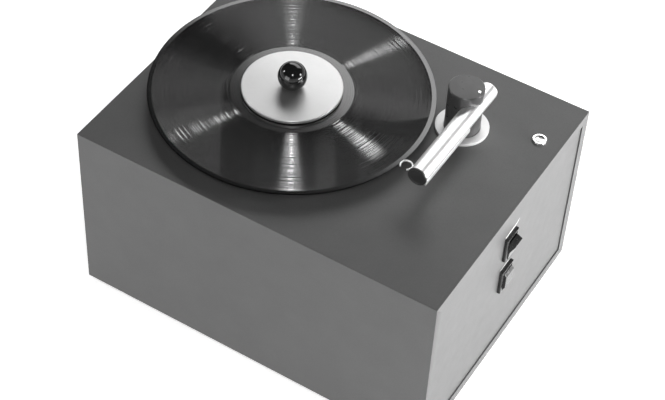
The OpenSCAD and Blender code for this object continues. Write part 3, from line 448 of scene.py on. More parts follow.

# %% [markdown]
# Every slot that the construction names gets its finish here: the boards, the rubber, the metals, the
# plastics. Inner pieces get one too, because an opened machine should look as real as a closed one. Two more
# finishes are for the arm's ring, which is paler than the clamp, and for the white streaks above the
# switches,
# which are a painted glint: light off the bezels' top edges, painted onto the panel.

# %% Finishes by slot
EVEN = (1, 1, 1)
WOOD_TAN = (0.42, 0.30, 0.16, 1)
BRONZE_GOLD = (0.55, 0.33, 0.12, 1)
LEVER_RED = (0.42, 0.03, 0.02, 1)
CIRCUIT_GREEN = (0.02, 0.13, 0.05, 1)
laminate("laminate", 76)
moulded("inner_wood", WOOD_TAN, 0.75, 1.5 * MM, 0.1 * MM)
moulded("rubber", grey(38), 0.72, 0.3 * MM, 0.03 * MM)
metal("steel", grey(186), 0.34)
metal("platter_black", grey(60), 0.38, EVEN)
moulded("mat", grey(34), 0.8, 0.5 * MM, 0.05 * MM)
metal("bright_steel", grey(230), 0.18, relief=0, stain=0.05)
metal("alloy", grey(196), 0.42, (1, 1, 6))
metal("bronze", BRONZE_GOLD, 0.35)
metal("clamp_silver", grey(200), 0.46, EVEN, 0, 0.03, 0.04, Coat_Weight=0.8, Coat_Roughness=0.1)
metal("ring_silver", grey(226), 0.6, EVEN, 0, 0.03, 0.03)
moulded("ball_black", grey(16), 0.06, 6 * MM, 0.001 * MM, 0.02)
moulded("arm_black", grey(52), 0.32, 0.3 * MM, 0.004 * MM, 0.05)
metal("tube_polish", grey(252), 0.4, (1, 0.02, 1), 0, 0.03, 0.02)
moulded("cap_black", grey(30), 0.42)
moulded("velvet", grey(20), 0.95, 0.25 * MM, 0.2 * MM, Sheen_Weight=0.6, Sheen_Roughness=0.4)
moulded("tank_plastic", grey(214), 0.4, 0.8 * MM, 0.01 * MM)
metal("motor_grey", grey(118), 0.45, (1, 1, 4))
moulded("black_plastic", grey(34), 0.42)
moulded("switch_black", grey(24), 0.24, 0.35 * MM, 0.004 * MM, 0.04)
moulded("lever_red", LEVER_RED, 0.4)
moulded("circuit_green", CIRCUIT_GREEN, 0.4)
metal("button_metal", grey(236), 0.26, EVEN, 0, 0.03, 0.04)
# Painted glint: white paint that stands for light thrown off each bezel's top edge onto the panel above it.
moulded("painted_glint_white", grey(235), 0.45, 0.2 * MM, 0.002 * MM)
print(len(finishes), "finishes")

# %% [markdown]
# The vinyl is the showpiece. A record's grooves are V-shaped walls at about 45 degrees, far finer than a
# pixel. They throw each lamp back as a bright ray from the label to the rim. A bump map would average them
# flat, so the normal itself is built: straight up, plus the outward direction times the slope of the wall,
# which is a fine wave of the radius. Slower noise along the radius makes the quiet and loud passages show as
# lighter and darker rings.

# %% The vinyl's grooves
table_centre = middle("record")
LABEL_R = 50 * MM
DEAD_WAX_R = 65 * MM
GROOVE_END_R = 146 * MM
GROOVE_PITCH = 0.16 * MM
WALL_SLOPE = 0.95
SLOPE_SPREAD = 0.36
INNER_WALL = -0.6
OUTER_WALL = -0.1


def vinyl():
    """The record's finish, with its label, its smooth run-out and its grooves."""
    finish = Finish("vinyl", Specular_IOR_Level=0.8, IOR=1.55)
    spot = finish.scaled(centre=(table_centre.x, table_centre.y, 0))
    flat = finish.vector("MULTIPLY", spot, (1, 1, 0))
    radius = finish.vector("LENGTH", flat)
    outward = finish.vector("NORMALIZE", flat)
    along = finish.node("ShaderNodeCombineXYZ")
    finish.feed(along.inputs["X"], radius)
    fine = finish.noise(1.1 * MM, 2, along.outputs["Vector"], 0.6)
    loud = finish.noise(2.3 * MM, 4, along.outputs["Vector"], 0.75)
    tracks = finish.noise(9 * MM, 2, along.outputs["Vector"])
    wave = finish.maths("SINE", finish.maths("MULTIPLY", radius, 2 * pi / GROOVE_PITCH))
    walls = finish.ramp(wave, INNER_WALL, OUTER_WALL, -1.0, 1.0)
    depth = finish.ramp(loud, 0.3, 0.7, WALL_SLOPE - SLOPE_SPREAD, WALL_SLOPE + SLOPE_SPREAD)
    inner = finish.maths("GREATER_THAN", radius, DEAD_WAX_R)
    outer = finish.maths("LESS_THAN", radius, GROOVE_END_R)
    grooved = finish.maths("MULTIPLY", inner, outer)
    slope = finish.maths("MULTIPLY", finish.maths("MULTIPLY", walls, depth), grooved)
    tilted = finish.vector("NORMALIZE", finish.vector("ADD", finish.stretched(outward, slope), (0, 0, 1)))
    turn = finish.node(
        "ShaderNodeVectorTransform", vector_type="NORMAL", convert_from="OBJECT", convert_to="WORLD"
    )
    finish.feed(turn.inputs["Vector"], tilted)
    finish.shade("Normal", turn.outputs["Vector"])
    paper = finish.maths("LESS_THAN", radius, LABEL_R)
    black = finish.mix(finish.ramp(tracks, 0.4, 0.6), grey(14), grey(24))
    finish.shade("Base Color", finish.mix(paper, black, grey(168)))
    gloss = finish.ramp(fine, 0.3, 0.7, 0.07, 0.2)
    finish.shade("Roughness", finish.maths("MAXIMUM", gloss, finish.maths("MULTIPLY", paper, 0.7)))


vinyl()
print("vinyl grooves from", DEAD_WAX_R, "to", GROOVE_END_R)

# %% [markdown]
# A finished piece needs three things: its finish, which is the one its slot names unless another is asked
# for, the body that it moves with, and the frame nodes that it stands for, which are then hidden. One helper
# sees to them all.


# %% Dressing a piece
def dress(obj, body, slot, *nodes, finish=None):
    """Gives a new piece its finish, parents it to its body and hides the nodes that it stands for."""
    obj.data.materials.clear()
    obj.data.materials.append(finishes[finish or slot].material)
    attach(obj, body)
    if nodes:
        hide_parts(*nodes)
    print(obj.name, "has", len(obj.data.polygons), "faces")
    return obj


# %% [markdown]
# The cabinet is a sleeve of four long boards, mitred at their corners, so that the laminate runs round the
# edge with no raw board showing. A mitre could be drawn as an outline and extruded. Here each board starts as
# a box and is sawn with bisect, as a joiner would do it, and a second pass takes off the sharp outer corner.

# %% The mitred boards
SLEEVE_CHAMFER = 0.35 * MM
BOARD_SIDES = {
    "front_board": (Vector((0, -1, 0)), Vector((0, 0, 1))),
    "rear_board": (Vector((0, 1, 0)), Vector((0, 0, 1))),
    "top_board": (Vector((0, 0, 1)), Vector((0, 1, 0))),
    "bottom_board": (Vector((0, 0, -1)), Vector((0, 1, 0))),
}


def saw(obj, place, direction):
    """Cuts a piece with a plane and throws away what lies beyond it."""
    only(obj)
    bpy.ops.object.mode_set(mode="EDIT")
    bpy.ops.mesh.select_all(action="SELECT")
    bpy.ops.mesh.bisect(plane_co=place, plane_no=direction, use_fill=True, clear_outer=True)
    bpy.ops.object.mode_set(mode="OBJECT")


def corner(low, high, outward, along):
    """The point of a box's edge that lies furthest in two directions."""
    point = (low + high) / 2
    for axis in range(3):
        way = outward[axis] + along[axis]
        if way > 0:
            point[axis] = high[axis]
        if way < 0:
            point[axis] = low[axis]
    return point


boards = {}
for node, (outward, across) in BOARD_SIDES.items():
    low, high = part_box(node)
    board = block(node + "_faced", low, high)
    for along in (across, -across):
        edge = corner(low, high, outward, along)
        saw(board, edge, along - outward)
        saw(board, edge - outward * SLEEVE_CHAMFER, outward + along)
    boards[node] = board
    print(board.name, "sawn to", tuple(round(v, 4) for v in high - low))

# %% [markdown]
# The boards have holes where the pieces behind them come through: the turntable's bearing, the arm's sleeve
# and the button in the top, and the exhaust, the mains inlet and the drain at the back. Each hole takes its
# place from the piece that fills it.

# %% Holes in the boards
FIT = 0.05 * MM
END_ROUND = 0.3 * MM
REACH = 5 * MM
TOP_HOLES = {"platter": 14.35 * MM, "arm_sleeve": 24.65 * MM, "button_cap": 6.65 * MM}
REAR_HOLES = {"exhaust_grille": (56 * MM, 26 * MM), "mains_inlet": (28.1 * MM, 20.1 * MM)}
DRAIN_STEM_R = 7.6 * MM
DRAIN_AXIS_UP = 14 * MM
for node, radius in TOP_HOLES.items():
    hole = middle(node)
    drill(boards["top_board"], (hole.x, hole.y, middle("top_board").z), radius)
rear_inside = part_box("rear_board")[0].y
rear_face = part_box("rear_board")[1].y
for node, (width, height) in REAR_HOLES.items():
    hole = middle(node)
    slot_out(
        boards["rear_board"],
        (hole.x - width / 2, rear_inside - REACH, hole.z - height / 2),
        (hole.x + width / 2, rear_face + REACH, hole.z + height / 2),
    )
drain_x = middle("drain_fitting").x
drain_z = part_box("drain_fitting")[0].z + DRAIN_AXIS_UP
drill(boards["rear_board"], (drain_x, middle("rear_board").y, drain_z), DRAIN_STEM_R + FIT, "Y")
for node, board in boards.items():
    soften(board, END_ROUND, 2, 50)
    dress(board, "cabinet", "laminate", node)

# %% [markdown]
# The side panels sit a little inside the ends of the sleeve, which leaves the fine dark line round the panel.
# The right one has two openings for the switches.

# %% The side panels
SWITCH_BODY_W = 21 * MM
SWITCH_BODY_H = 30 * MM
PANEL_ROUND = 0.25 * MM
half_w = SWITCH_BODY_W / 2 + FIT
half_h = SWITCH_BODY_H / 2 + FIT
for node in ("left_panel", "right_panel"):
    low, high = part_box(node)
    panel = block(node + "_faced", low, high)
    if node == "right_panel":
        for switch in ("vacuum_switch", "direction_switch"):
            hole = middle(switch)
            slot_out(
                panel,
                (low.x - REACH, hole.y - half_w, hole.z - half_h),
                (high.x + REACH, hole.y + half_w, hole.z + half_h),
            )
    soften(panel, PANEL_ROUND, 2, 50)
    dress(panel, "cabinet", "laminate", node)

# %% [markdown]
# Four rubber feet carry the cabinet. Each is turned with a rounded lower edge and a recess for its screw, and
# two loops set one in every corner.

# %% The feet
feet_low, feet_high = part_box("feet")
FOOT_R = 12 * MM
FOOT_BORE_R = 2.1 * MM
FOOT_RECESS_R = 4.3 * MM
foot_h = feet_high.z - feet_low.z
foot_outline = [
    (FOOT_BORE_R, foot_h), (FOOT_BORE_R, foot_h / 2), (FOOT_RECESS_R, foot_h / 2), (FOOT_RECESS_R, 0.3 * MM),
    (FOOT_RECESS_R + 0.3 * MM, 0), (FOOT_R - 1.6 * MM, 0), (FOOT_R - 0.8 * MM, 0.3 * MM),
    (FOOT_R - 0.2 * MM, 0.9 * MM), (FOOT_R, 1.7 * MM), (FOOT_R, foot_h - 0.4 * MM),
    (FOOT_R - 0.3 * MM, foot_h),
]
feet = []
for x in (feet_low.x + FOOT_R, feet_high.x - FOOT_R):
    for y in (feet_low.y + FOOT_R, feet_high.y - FOOT_R):
        foot = turned("foot", foot_outline, 64, closed=True)
        feet.append(put(foot, (x, y, feet_low.z)))
dress(smooth(join("rubber_feet", *feet)), "cabinet", "rubber", "feet")

# %% [markdown]
# The platter is an aluminium disc, turned and painted satin black. Only its rim shows under the record, so
# its outline is a plain disc with softened corners and a shallow waist.

# %% The platter
PLATTER_R, PLATTER_T, platter_foot = round_size("platter", centre=table_centre)
PLATTER_BORE_R = 6.05 * MM
HUB_R = 25.55 * MM
HUB_RECESS = 3 * MM
RIM_BAND = 3 * MM
WAIST = 0.6 * MM
platter_outline = [
    (PLATTER_BORE_R, HUB_RECESS), (HUB_R, HUB_RECESS), (HUB_R, 0), (PLATTER_R - 1 * MM, 0),
    (PLATTER_R - 0.3 * MM, 0.3 * MM), (PLATTER_R, 1 * MM), (PLATTER_R, RIM_BAND - WAIST),
    (PLATTER_R - WAIST, RIM_BAND), (PLATTER_R - WAIST, PLATTER_T - RIM_BAND),
    (PLATTER_R, PLATTER_T - RIM_BAND + WAIST), (PLATTER_R, PLATTER_T - 1 * MM),
    (PLATTER_R - 0.3 * MM, PLATTER_T - 0.3 * MM), (PLATTER_R - 1 * MM, PLATTER_T),
    (PLATTER_BORE_R, PLATTER_T),
]
platter = put(turned("turned_platter", platter_outline, 192, closed=True), platter_foot)
dress(smooth(platter), "turntable", "platter_black", "platter")

# %% [markdown]
# The record's section is drawn as it is pressed: a raised label, a smooth run-out, the sunken grooved band, a
# lead-in slope and a rounded bead at the rim. It is turned with many steps, because the eye finds any corner
# in such a large circle.

# %% The record
RECORD_R, RECORD_T, record_foot = round_size("record")
RECORD_BORE_R = 3.62 * MM
RUN_OUT_R = 57.6 * MM
SUNK = RECORD_T - 0.3 * MM
record_outline = [
    (RECORD_BORE_R, 0.1 * MM), (RECORD_BORE_R + 0.13 * MM, 0), (RECORD_R - 1.0 * MM, 0),
    (RECORD_R - 0.4 * MM, 0.15 * MM), (RECORD_R - 0.1 * MM, 0.5 * MM), (RECORD_R, RECORD_T / 2),
    (RECORD_R - 0.1 * MM, RECORD_T - 0.5 * MM), (RECORD_R - 0.4 * MM, RECORD_T - 0.15 * MM),
    (RECORD_R - 1.0 * MM, RECORD_T), (RECORD_R - 2.2 * MM, RECORD_T - 0.04 * MM),
    (RECORD_R - 2.6 * MM, RECORD_T - 0.2 * MM), (RECORD_R - 3.4 * MM, SUNK), (DEAD_WAX_R, SUNK),
    (RUN_OUT_R + 0.4 * MM, SUNK), (RUN_OUT_R, SUNK - 0.06 * MM), (RUN_OUT_R - 0.4 * MM, SUNK),
    (LABEL_R + 1.2 * MM, SUNK), (LABEL_R + 0.4 * MM, RECORD_T - 0.06 * MM), (LABEL_R, RECORD_T),
    (RECORD_BORE_R + 0.13 * MM, RECORD_T), (RECORD_BORE_R, RECORD_T - 0.1 * MM),
]
record = put(turned("pressed_record", record_outline, 256, closed=True), record_foot)
dress(smooth(record, 20), "turntable", "vinyl", "record")

# %% [markdown]
# The clamp is a turned aluminium disc with a satin face and a small chamfer, a rubber gasket below it, and a
# ball knob of black resin. The ball is turned as a row of rings rather than added as a sphere, so that its
# flat foot and its bore belong to the same skin.

# %% The clamp
CLAMP_R, CLAMP_T, clamp_foot = round_size("clamp_disc", centre=table_centre)
CLAMP_BORE_R = 3.75 * MM
clamp_outline = [
    (CLAMP_BORE_R, 0.2 * MM), (CLAMP_BORE_R + 0.2 * MM, 0), (CLAMP_R - 0.5 * MM, 0),
    (CLAMP_R - 0.15 * MM, 0.15 * MM), (CLAMP_R, 0.5 * MM), (CLAMP_R, CLAMP_T - 0.7 * MM),
    (CLAMP_R - 0.08 * MM, CLAMP_T - 0.5 * MM), (CLAMP_R - 0.6 * MM, CLAMP_T - 0.06 * MM),
    (CLAMP_R - 0.8 * MM, CLAMP_T), (CLAMP_BORE_R + 0.3 * MM, CLAMP_T), (CLAMP_BORE_R, CLAMP_T - 0.3 * MM),
]
clamp = put(turned("satin_clamp_disc", clamp_outline, 192, closed=True), clamp_foot)
dress(smooth(clamp), "clamp_plate", "clamp_silver", "clamp_disc")

BALL_R, ball_h, ball_foot = round_size("clamp_knob", centre=table_centre)
BALL_RINGS = 40
BALL_BORE_R = 3.05 * MM
BALL_BORE_H = 12 * MM
ball_middle = ball_h - BALL_R
foot_angle = acos(ball_middle / BALL_R)
ball_outline = [(BALL_BORE_R, BALL_BORE_H), (BALL_BORE_R, 0.3 * MM), (BALL_BORE_R + 0.3 * MM, 0)]
for ring in range(BALL_RINGS):
    angle = foot_angle + (pi - foot_angle) * ring / BALL_RINGS
    ball_outline.append((BALL_R * sin(angle), ball_middle - BALL_R * cos(angle)))
ball_outline.append((0.15 * MM, ball_h))
ball = put(turned("ball_knob", ball_outline, 96), ball_foot)
dress(smooth(ball, 40), "clamp_ball", "ball_black", "clamp_knob")

# %% [markdown]
# The arm stands in a silver ring with a fine groove round it. The column is a black turned post with a
# chamfered top. The suction tube goes through it to one side, so a hole of the tube's own size is drilled
# there, and a small one for the lock screw.

# %% The arm's ring and its column
arm_centre = middle("arm_base_ring")
RING_R, RING_T, ring_foot = round_size("arm_base_ring")
RING_BORE_R = 19.3 * MM
ring_outline = [
    (RING_BORE_R, 0), (RING_R, 0), (RING_R, 0.95 * MM), (RING_R - 0.4 * MM, 1.0 * MM),
    (RING_R - 0.4 * MM, 1.45 * MM), (RING_R, 1.5 * MM), (RING_R, RING_T - 0.5 * MM),
    (RING_R - 0.15 * MM, RING_T - 0.15 * MM), (RING_R - 0.5 * MM, RING_T), (RING_BORE_R + 0.2 * MM, RING_T),
    (RING_BORE_R, RING_T - 0.2 * MM),
]
base_ring = put(turned("silver_base_ring", ring_outline, 128, closed=True), ring_foot)
dress(smooth(base_ring), "cabinet", "clamp_silver", "arm_base_ring", finish="ring_silver")

COLUMN_R, COLUMN_H, column_foot = round_size("arm_column", centre=arm_centre)
PIPE_SEAT_R = 12.02 * MM
PIPE_SEAT_H = 12 * MM
NEAR_AXIS = 0.5 * MM
LOCK_HOLE_R = 1.5 * MM
column_outline = [
    (NEAR_AXIS, PIPE_SEAT_H), (PIPE_SEAT_R, PIPE_SEAT_H), (PIPE_SEAT_R, 0), (COLUMN_R, 0),
    (COLUMN_R, COLUMN_H - 1 * MM), (COLUMN_R - 0.12 * MM, COLUMN_H - 0.8 * MM),
    (COLUMN_R - 0.85 * MM, COLUMN_H - 0.08 * MM), (COLUMN_R - 1.05 * MM, COLUMN_H), (NEAR_AXIS, COLUMN_H),
]
column = put(turned("black_column", column_outline, 128), column_foot)
TUBE_R, tube_length, tube_front = round_size("suction_tube", 1)
drill(column, (tube_front.x, arm_centre.y, tube_front.z), TUBE_R + FIT, "Y", 120 * MM, 96)
SCREW_H, screw_foot = round_size("column_screw")[1:]
drill(column, (screw_foot.x, screw_foot.y, column_foot.z + COLUMN_H), LOCK_HOLE_R, "Z", 8 * MM, 32)
dress(smooth(column), "arm", "arm_black", "arm_column")

# %% [markdown]
# Under the column a coil spring pushes the arm back up. When the arm is pressed down the spring gets shorter,
# and a rigid node can't do that. A copy of the node's mesh stands for it, merged and turned outwards, with a
# mesh of its own.

# %% The lift spring
spring = bpy.data.objects.new("coil_lift_spring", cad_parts["lift_spring"].data.copy())
bpy.context.scene.collection.objects.link(spring)
only(spring)
bpy.ops.object.mode_set(mode="EDIT")
face_out()
bpy.ops.object.mode_set(mode="OBJECT")
dress(smooth(spring, 40), "arm_carrier", "steel", "lift_spring")
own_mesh(spring)

# %% [markdown]
# A small bright screw in the column's top locks the tube. Its head is turned with a soft dome and a
# six-sided socket, which is a bored circle of six steps.

# %% The column screw
SHANK_R = 1.45 * MM
HEAD_R = 1.9 * MM
HEAD_H = 1.0 * MM
SOCKET_R = 0.8 * MM
SOCKET_DEEP = 0.6 * MM
head_z = SCREW_H - HEAD_H
screw_outline = [
    (SHANK_R, 0), (SHANK_R, head_z), (HEAD_R - 0.05 * MM, head_z), (HEAD_R, head_z + 0.1 * MM),
    (HEAD_R, SCREW_H - 0.4 * MM), (HEAD_R - 0.15 * MM, SCREW_H - 0.15 * MM), (HEAD_R - 0.4 * MM, SCREW_H),
]
screw = turned("column_lock_screw", screw_outline, 48)
cut(screw, turned("bit", [(SOCKET_R, SCREW_H - SOCKET_DEEP), (SOCKET_R, SCREW_H + 1 * MM)], 6))
put(screw, screw_foot)
dress(smooth(screw), "arm", "bright_steel", "column_screw")

# %% [markdown]
# The suction tube is a polished pipe. A black plastic cap closes its front end, and its rear end is domed.
# All three are turned about the upright axis and then laid down along Y.

# %% The suction tube and its ends
WALL = 1.4 * MM
SLOT_W = 2.4 * MM
SLOT_END = 3 * MM
tube_outline = [
    (TUBE_R - WALL, 0), (TUBE_R - 0.1 * MM, 0), (TUBE_R, 0.1 * MM), (TUBE_R, tube_length - 0.1 * MM),
    (TUBE_R - 0.1 * MM, tube_length), (TUBE_R - WALL, tube_length),
]
tube = put(turned("polished_tube", tube_outline, 96, closed=True), tube_front, "Y")
tube_under = tube_front.z - TUBE_R
nozzle_low, nozzle_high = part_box("nozzle_bar")
slot_low = Vector((tube_front.x - SLOT_W / 2, nozzle_low.y + SLOT_END, 0))
slot_high = Vector((tube_front.x + SLOT_W / 2, nozzle_high.y - SLOT_END, 0))
up = Vector((0, 0, 1))
slot_out(tube, slot_low + up * (tube_under - 1 * MM), slot_high + up * (tube_front.z - WALL))
dress(smooth(tube), "arm", "tube_polish", "suction_tube")

CAP_R, cap_length, cap_front = round_size("tube_end_cap", 1, tube_front)
CAP_LIP = 1.8 * MM
cap_outline = [
    (NEAR_AXIS, 0.25 * MM), (CAP_R - 2.2 * MM, 0.25 * MM), (CAP_R - 1.8 * MM, 0), (CAP_R - 0.45 * MM, 0),
    (CAP_R - 0.1 * MM, 0.12 * MM), (CAP_R, 0.45 * MM), (CAP_R, CAP_LIP), (TUBE_R - WALL, CAP_LIP),
    (TUBE_R - WALL, cap_length),
]
cap = put(turned("black_end_cap", cap_outline, 96), cap_front, "Y")
dress(smooth(cap), "arm", "cap_black", "tube_end_cap")

dome_length, dome_front = round_size("tube_rear_cap", 1, tube_front)[1:]
DOME = 3 * MM
DOME_RINGS = 9
dome_outline = [(TUBE_R - WALL, 0), (TUBE_R - WALL, dome_length - DOME), (TUBE_R, dome_length - DOME)]
for ring in range(1, DOME_RINGS + 1):
    angle = pi / 2 * ring / DOME_RINGS
    dome_outline.append((TUBE_R - DOME + DOME * cos(angle), dome_length - DOME + DOME * sin(angle)))
dome_outline.append((NEAR_AXIS, dome_length))
rear_cap = put(turned("domed_rear_end", dome_outline, 96), dome_front, "Y")
dress(smooth(rear_cap), "arm", "tube_polish", "tube_rear_cap")

# %% [markdown]
# Below the tube sits the nozzle bar, milled to the tube's own curve. Its slot draws the fluid off the record
# between two strips of velvet, which wipe the grooves and keep the metal off them.

# %% The nozzle bar and its velvet
nozzle = block("nozzle_bar_milled", nozzle_low, nozzle_high)
drill(nozzle, (tube_front.x, middle("nozzle_bar").y, tube_front.z), TUBE_R + FIT, "Y", 160 * MM, 96)
slot_out(nozzle, slot_low + up * (nozzle_low.z - 1 * MM), slot_high + up * (nozzle_high.z + 1 * MM))
dress(soften(nozzle, 0.25 * MM, 2, 40), "arm", "tube_polish", "nozzle_bar")
velvet_low, velvet_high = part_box("velvet_strips")
VELVET_W = 5 * MM
VELVET_ROUND = 0.7 * MM
strips = []
for x in (velvet_low.x, velvet_high.x - VELVET_W):
    low = (x, velvet_low.y, velvet_low.z)
    high = (x + VELVET_W, velvet_high.y, velvet_high.z)
    strips.append(soften(block("strip", low, high), VELVET_ROUND, 4, 40))
dress(join("velvet_pads", *strips), "arm", "velvet", "velvet_strips")

# %% [markdown]
# The finger loop is a bent wire, open a little, with a short stem that joins it to the tube. A circle of wire
# section is spun about the loop's centre, which is how a bend grows in edit mode.

# %% The finger loop
loop_low, loop_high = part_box("finger_loop")
WIRE_R = (loop_high.z - loop_low.z) / 2
LOOP_R = 6.2 * MM
LOOP_START = radians(-130)
LOOP_SWEEP = radians(290)
loop_centre = middle("finger_loop")
loop_centre.x = loop_low.x + LOOP_R + WIRE_R
bpy.ops.object.select_all(action="DESELECT")
bpy.ops.mesh.primitive_circle_add(
    vertices=20, radius=WIRE_R, fill_type="NGON", rotation=(pi / 2, 0, LOOP_START),
    location=loop_centre + Vector((LOOP_R * cos(LOOP_START), LOOP_R * sin(LOOP_START), 0)),
)
loop = settle(bpy.context.object, "wire_finger_loop")
bpy.ops.object.mode_set(mode="EDIT")
bpy.ops.mesh.select_all(action="SELECT")
bpy.ops.mesh.spin(steps=48, angle=LOOP_SWEEP, center=loop_centre, axis=(0, 0, 1), use_auto_merge=False)
face_out()
bpy.ops.object.mode_set(mode="OBJECT")
stem_start = loop_centre.x + LOOP_R
stem_length = tube_front.x - TUBE_R - stem_start
stem = turned("stem", [(WIRE_R, 0), (WIRE_R, stem_length)], 20)
put(stem, (stem_start, loop_centre.y, loop_centre.z), "X")
dress(smooth(join("wire_finger_loop", loop, stem), 40), "arm", "tube_polish", "finger_loop")

# %% [markdown]
# The push button is a bright bezel with a dished cap that sinks when it is pressed. Both are turned, and the
# six-sided nut that holds the bezel from below stays part of the bezel.

# %% The push button
bezel_low, bezel_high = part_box("button_bezel")
button_h, button_foot = round_size("button_cap")[1:]
BEZEL_R = 8 * MM
BEZEL_BORE_R = 5.25 * MM
STEM_R = 6.6 * MM
NUT_R = 9.6 * MM
NUT_T = 4 * MM
NUT_DOWN = 16 * MM
top_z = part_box("top_board")[1].z
bezel_seat = top_z - bezel_low.z
bezel_h = bezel_high.z - bezel_low.z
bezel_outline = [
    (BEZEL_BORE_R, 0), (STEM_R, 0), (STEM_R, bezel_seat), (BEZEL_R, bezel_seat),
    (BEZEL_R, bezel_h - 0.9 * MM), (BEZEL_R - 0.25 * MM, bezel_h - 0.35 * MM),
    (BEZEL_R - 0.8 * MM, bezel_h - 0.05 * MM), (BEZEL_R - 1.2 * MM, bezel_h),
    (BEZEL_BORE_R + 0.35 * MM, bezel_h), (BEZEL_BORE_R, bezel_h - 0.3 * MM),
]
bezel = turned("bright_bezel", bezel_outline, 96, closed=True)
put(bezel, (button_foot.x, button_foot.y, bezel_low.z))
nut_bore = STEM_R + 0.02 * MM
nut = turned("nut", [(nut_bore, 0), (NUT_R, 0), (NUT_R, NUT_T), (nut_bore, NUT_T)], 6, closed=True)
put(nut, (button_foot.x, button_foot.y, top_z - NUT_DOWN))
dress(smooth(join("bright_bezel", bezel, nut)), "cabinet", "button_metal", "button_bezel")

BUTTON_R = 5.2 * MM
DISH_R = 15 * MM
DISH = 0.7 * MM
DISH_RINGS = 9
button_outline = [
    (0.3 * MM, 0), (BUTTON_R, 0), (BUTTON_R, button_h - 0.4 * MM),
    (BUTTON_R - 0.12 * MM, button_h - 0.12 * MM),
]
for ring in range(DISH_RINGS):
    radius = (BUTTON_R - 0.5 * MM) * (1 - ring / DISH_RINGS) + 0.2 * MM
    lift = DISH_R - (DISH_R ** 2 - radius ** 2) ** 0.5
    button_outline.append((radius, button_h - DISH + lift))
button = put(turned("dished_button", button_outline, 72), button_foot)
dress(smooth(button), "button", "button_metal", "button_cap")

# %% [markdown]
# Each rocker switch is a glossy black bezel with a well, and a rocker that tips in it. The bezel is a box
# whose front edges are bevelled. It carries the body behind the panel, with its three tags.

# %% The switches' bezels
panel_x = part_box("right_panel")[1].x
SWITCH_W = 24 * MM
SWITCH_H = 32 * MM
SWITCH_BODY_D = 27 * MM
WELL_W = 17.8 * MM
WELL_H = 28 * MM
WELL_D = 13 * MM
TAG_T = 0.8 * MM
TAG_W = 4.8 * MM
TAG_APART = 8 * MM
SWITCH_CHAMFER = 1.2 * MM


def side_block(name, centre, start, end, width, height):
    """A box from one X to another, about a centre in Y and Z."""
    half = Vector((0, width / 2, height / 2))
    middle_line = Vector((0, centre.y, centre.z))
    return block(name, middle_line - half + Vector((start, 0, 0)), middle_line + half + Vector((end, 0, 0)))


def switch_bezel(node):
    """A switch's bezel, body, well and tags as one piece."""
    low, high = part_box(node)
    centre = (low + high) / 2
    front = side_block(node + "_shell", centre, panel_x, high.x, SWITCH_W, SWITCH_H)
    bevel_some(front, SWITCH_CHAMFER, 3, lambda edge: all(v.co.x > high.x - FIT for v in edge.verts))
    body = side_block("body", centre, panel_x - SWITCH_BODY_D, panel_x, SWITCH_BODY_W, SWITCH_BODY_H)
    tags = []
    for row in (-1, 0, 1):
        place = centre + Vector((0, 0, row * TAG_APART))
        tags.append(side_block("tag", place, low.x, panel_x - SWITCH_BODY_D, TAG_T, TAG_W))
    for piece in (front, body):
        cut(piece, side_block("well", centre, high.x - WELL_D, high.x + 1 * MM, WELL_W, WELL_H))
    return smooth(join(node + "_shell", front, body, *tags))


for node in ("vacuum_switch", "direction_switch"):
    dress(switch_bezel(node), "cabinet", "switch_black", node)

# %% [markdown]
# A rocker is drawn as a side outline in millimetres about its pivot, and pushed out to its width. The vacuum
# rocker is hollowed a little and stands tipped to one side. The direction rocker rests in its middle place.

# %% The rockers
ROCKER_W = 17 * MM
PIVOT_IN = 7 * MM
PIN_R = 1.5 * MM
PIN_HALF = 9.9 * MM
pivot_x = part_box("vacuum_switch")[1].x - PIVOT_IN
rocker_outlines = {
    "vacuum_rocker": (radians(16), "vacuum_key", [
        (-4, -6), (4.5, -12), (11.3, -10.6), (10.4, -6), (9.7, -2), (9.5, 0), (9.7, 2), (10.4, 6),
        (11.3, 10.6), (4.5, 12), (-4, 6),
    ]),
    "direction_rocker": (0, "direction_key", [(-4, -6), (7, -12), (9.8, -8.2), (9.8, 8.2), (7, 12), (-4, 6)]),
}
for node, (tilt, body, outline) in rocker_outlines.items():
    switch = middle(node.replace("rocker", "switch"))
    rocker = drawn(node + "_key", outline, ROCKER_W)
    soften(rocker, 0.45 * MM, 3, 25)
    pin = put(turned("pin", [(PIN_R, -PIN_HALF), (PIN_R, PIN_HALF)], 24), (0, 0, 0), "Y")
    rocker = join(node + "_key", rocker, smooth(pin))
    rocker.rotation_euler = (0, tilt, 0)
    rocker.location = (pivot_x, switch.y, switch.z)
    dress(settle(rocker, rocker.name), body, "switch_black", node)

# %% [markdown]
# At the back is the exhaust grille, a plain moulded plate. Its slots are cut one by one from boxes, which
# keeps each wall between them square, and a bevel then softens every edge at once.

# %% The exhaust grille
low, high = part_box("exhaust_grille")
centre = (low + high) / 2
GRILLE_ROWS = 7
ROW_APART = 3.4 * MM
GRILLE_SLOT = (48 * MM, 1.8 * MM)
grille = block("moulded_grille", low, high)
for row in range(GRILLE_ROWS):
    z = centre.z + (row - (GRILLE_ROWS - 1) / 2) * ROW_APART
    slot_out(
        grille,
        (centre.x - GRILLE_SLOT[0] / 2, low.y - 1 * MM, z - GRILLE_SLOT[1] / 2),
        (centre.x + GRILLE_SLOT[0] / 2, high.y + 1 * MM, z + GRILLE_SLOT[1] / 2),
    )
dress(soften(grille, 0.4 * MM, 2, 40), "cabinet", "black_plastic", "exhaust_grille")

# %% [markdown]
# The mains inlet is a flange with round corners and a shell behind it. One cavity is cut through both, and
# three bright blades stand in it as a piece of their own, because their finish differs.

